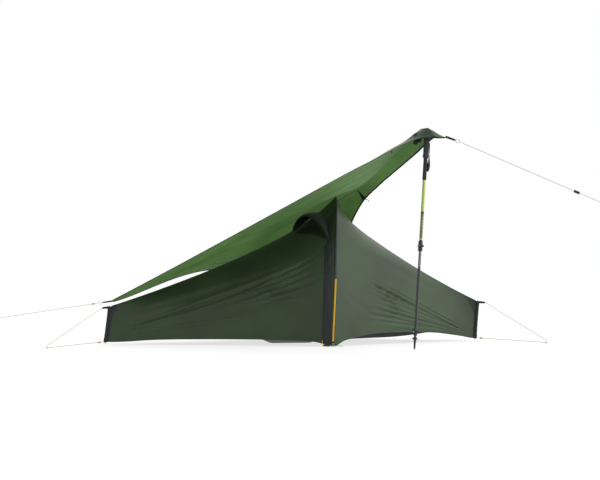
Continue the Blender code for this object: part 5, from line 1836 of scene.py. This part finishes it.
        share = np.linspace(0, 1, 26)
        out = wall + 0.0003 + 0.0023 + 0.0024 * share ** 2
        path = np.stack([self.at(middle, -0.0178 + 0.0366 * s, o) for s, o in zip(share, out)])
        wide = 1 - 0.22 * hump(share) + 0.05 * share
        thick = np.interp(share, [0, 0.06, 0.2, 0.75, 0.93, 1], [0.7, 1.05, 0.95, 0.7, 0.8, 0.35])
        size = np.stack([wide, thick], axis=1)
        lever = Shape().carried(path, strap_section(0.0122, 0.0040, 20), (0.0, -1.0, 0.0), size)
        rivet = [(0, 0.0030), (0.0007, 0.0030), (0.0010, 0.0026)]
        lever.turned(self.at(middle, -0.0128, wall + 0.0040), (0, -1, 0), rivet, 24, 1)
        made = lever.piece(f"pole_{name}_cam_lever", BLACK_NYLON, STEEL, body=f"{name}_lever")
        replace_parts(made, f"pole_{name}_lever")

    def grip(self) -> None:
        """Make the grip: a ringed foam sleeve below, a flared stop, and a handle with finger grooves."""
        rings = [(1.0300, 0.0112), (1.0312, 0.0120)]
        for k in range(12):
            low = 1.0345 + 0.0103 * k
            rings += [(low, 0.0120), (low + 0.0010, 0.0115), (low + 0.0020, 0.0120)]
        foam = self.turned(rings + [(self.grip_start, 0.0120)], 0, self.grip_bore)
        height = np.linspace(self.grip_start, self.length, 90)
        heights = [self.grip_start, 1.1640, 1.1700, 1.1745, 1.1840, 1.2050, 1.2300, 1.2600, 1.2827, 1.2930,
                   1.2990, self.length]
        radii = [0.0122, 0.0150, 0.0182, 0.0180, 0.0166, 0.0168, 0.0178, 0.0176, 0.0182, 0.0172,
                 0.0152, 0.0118]
        profile = np.stack([height, np.interp(height, heights, radii)], axis=1)
        profile[1:-1, 1] = (profile[:-2, 1] + 2 * profile[1:-1, 1] + profile[2:, 1]) / 4
        angle = np.arange(48) * 2 * math.pi / 48
        held = np.clip((height - 1.184) / 0.01, 0, 1) * np.clip((1.286 - height) / 0.012, 0, 1)
        waves = 0.5 - 0.5 * np.cos(2 * math.pi * (height - 1.184) / 0.0215)
        face = np.clip(np.cos(angle), 0, 1)
        ripple = 1 - (0.085 * held * waves)[:, None] * face - 0.04 * held[:, None] * np.sin(angle) ** 2
        cap = int(np.searchsorted(height, self.length - 0.028))
        self.turned(profile[:cap], 1, self.grip_bore, foam, ripple[:cap], 48)
        self.turned(profile[cap - 1:], 1, shape=foam, ripple=ripple[cap - 1:], sides=48)
        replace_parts(foam.piece("pole_hand_grip", FOAM, RUBBER), "pole_grip")

    def strap(self) -> None:
        """Make the wrist strap: one loop of soft webbing that hangs from the top of the grip."""
        loop = ((0.0028, 0.034), (0.003, 0.060), (0.003, 0.100), (0.005, 0.140), (0.006, 0.180),
                (0.002, 0.210), (-0.003, 0.216), (-0.0045, 0.200), (-0.002, 0.165), (0.0, 0.130),
                (0.0, 0.050))
        inner = 0.0165 * 1.08 * math.cos(math.pi / 10) + 0.0014
        path = spline(np.stack([self.at(self.length - fall, inner + reach) for reach, fall in loop]), 150)
        flat = np.cross(BACK, unit(np.gradient(path, axis=0)))
        twist = np.interp(np.linspace(0, 1, len(path)), (0, 0.20, 0.33, 0.44, 0.55, 0.67, 0.75, 1),
                          (0, 0, 0.5, 1.1, 0.9, 0.3, 0, 0))[:, None]
        outward = np.cos(twist) * flat + np.sin(twist) * np.array(BACK)
        shape = Shape().carried(path, strap_section(0.0145, 0.0018, 16), outward)
        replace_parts(shape.piece("pole_wrist_loop", DARK_TAPE, body="wrist_strap"), "wrist_strap")

    def dress(self) -> None:
        """Make every piece of the pole."""
        self.tip()
        self.basket()
        self.tubes()
        self.clamp("lower", 0.090, 0.044, self.middle, "pole_middle")
        self.clamp("upper", 0.600, 0.062, self.upper, TENT)
        self.grip()
        self.strap()


def main() -> None:
    """Build and dress the tent, one sub-assembly after another."""
    logging.basicConfig(level=logging.INFO, format="%(name)s: %(message)s")
    Studio().build()
    Lines().dress()
    LEFT_HALF.dress()
    RIGHT_HALF.dress()
    PoleSet().dress()
    Door(LEFT_HALF).dress()
    Tarp().dress()
    InnerTent().dress()
    TrekkingPole().dress()


if __name__ == "__main__":
    main()
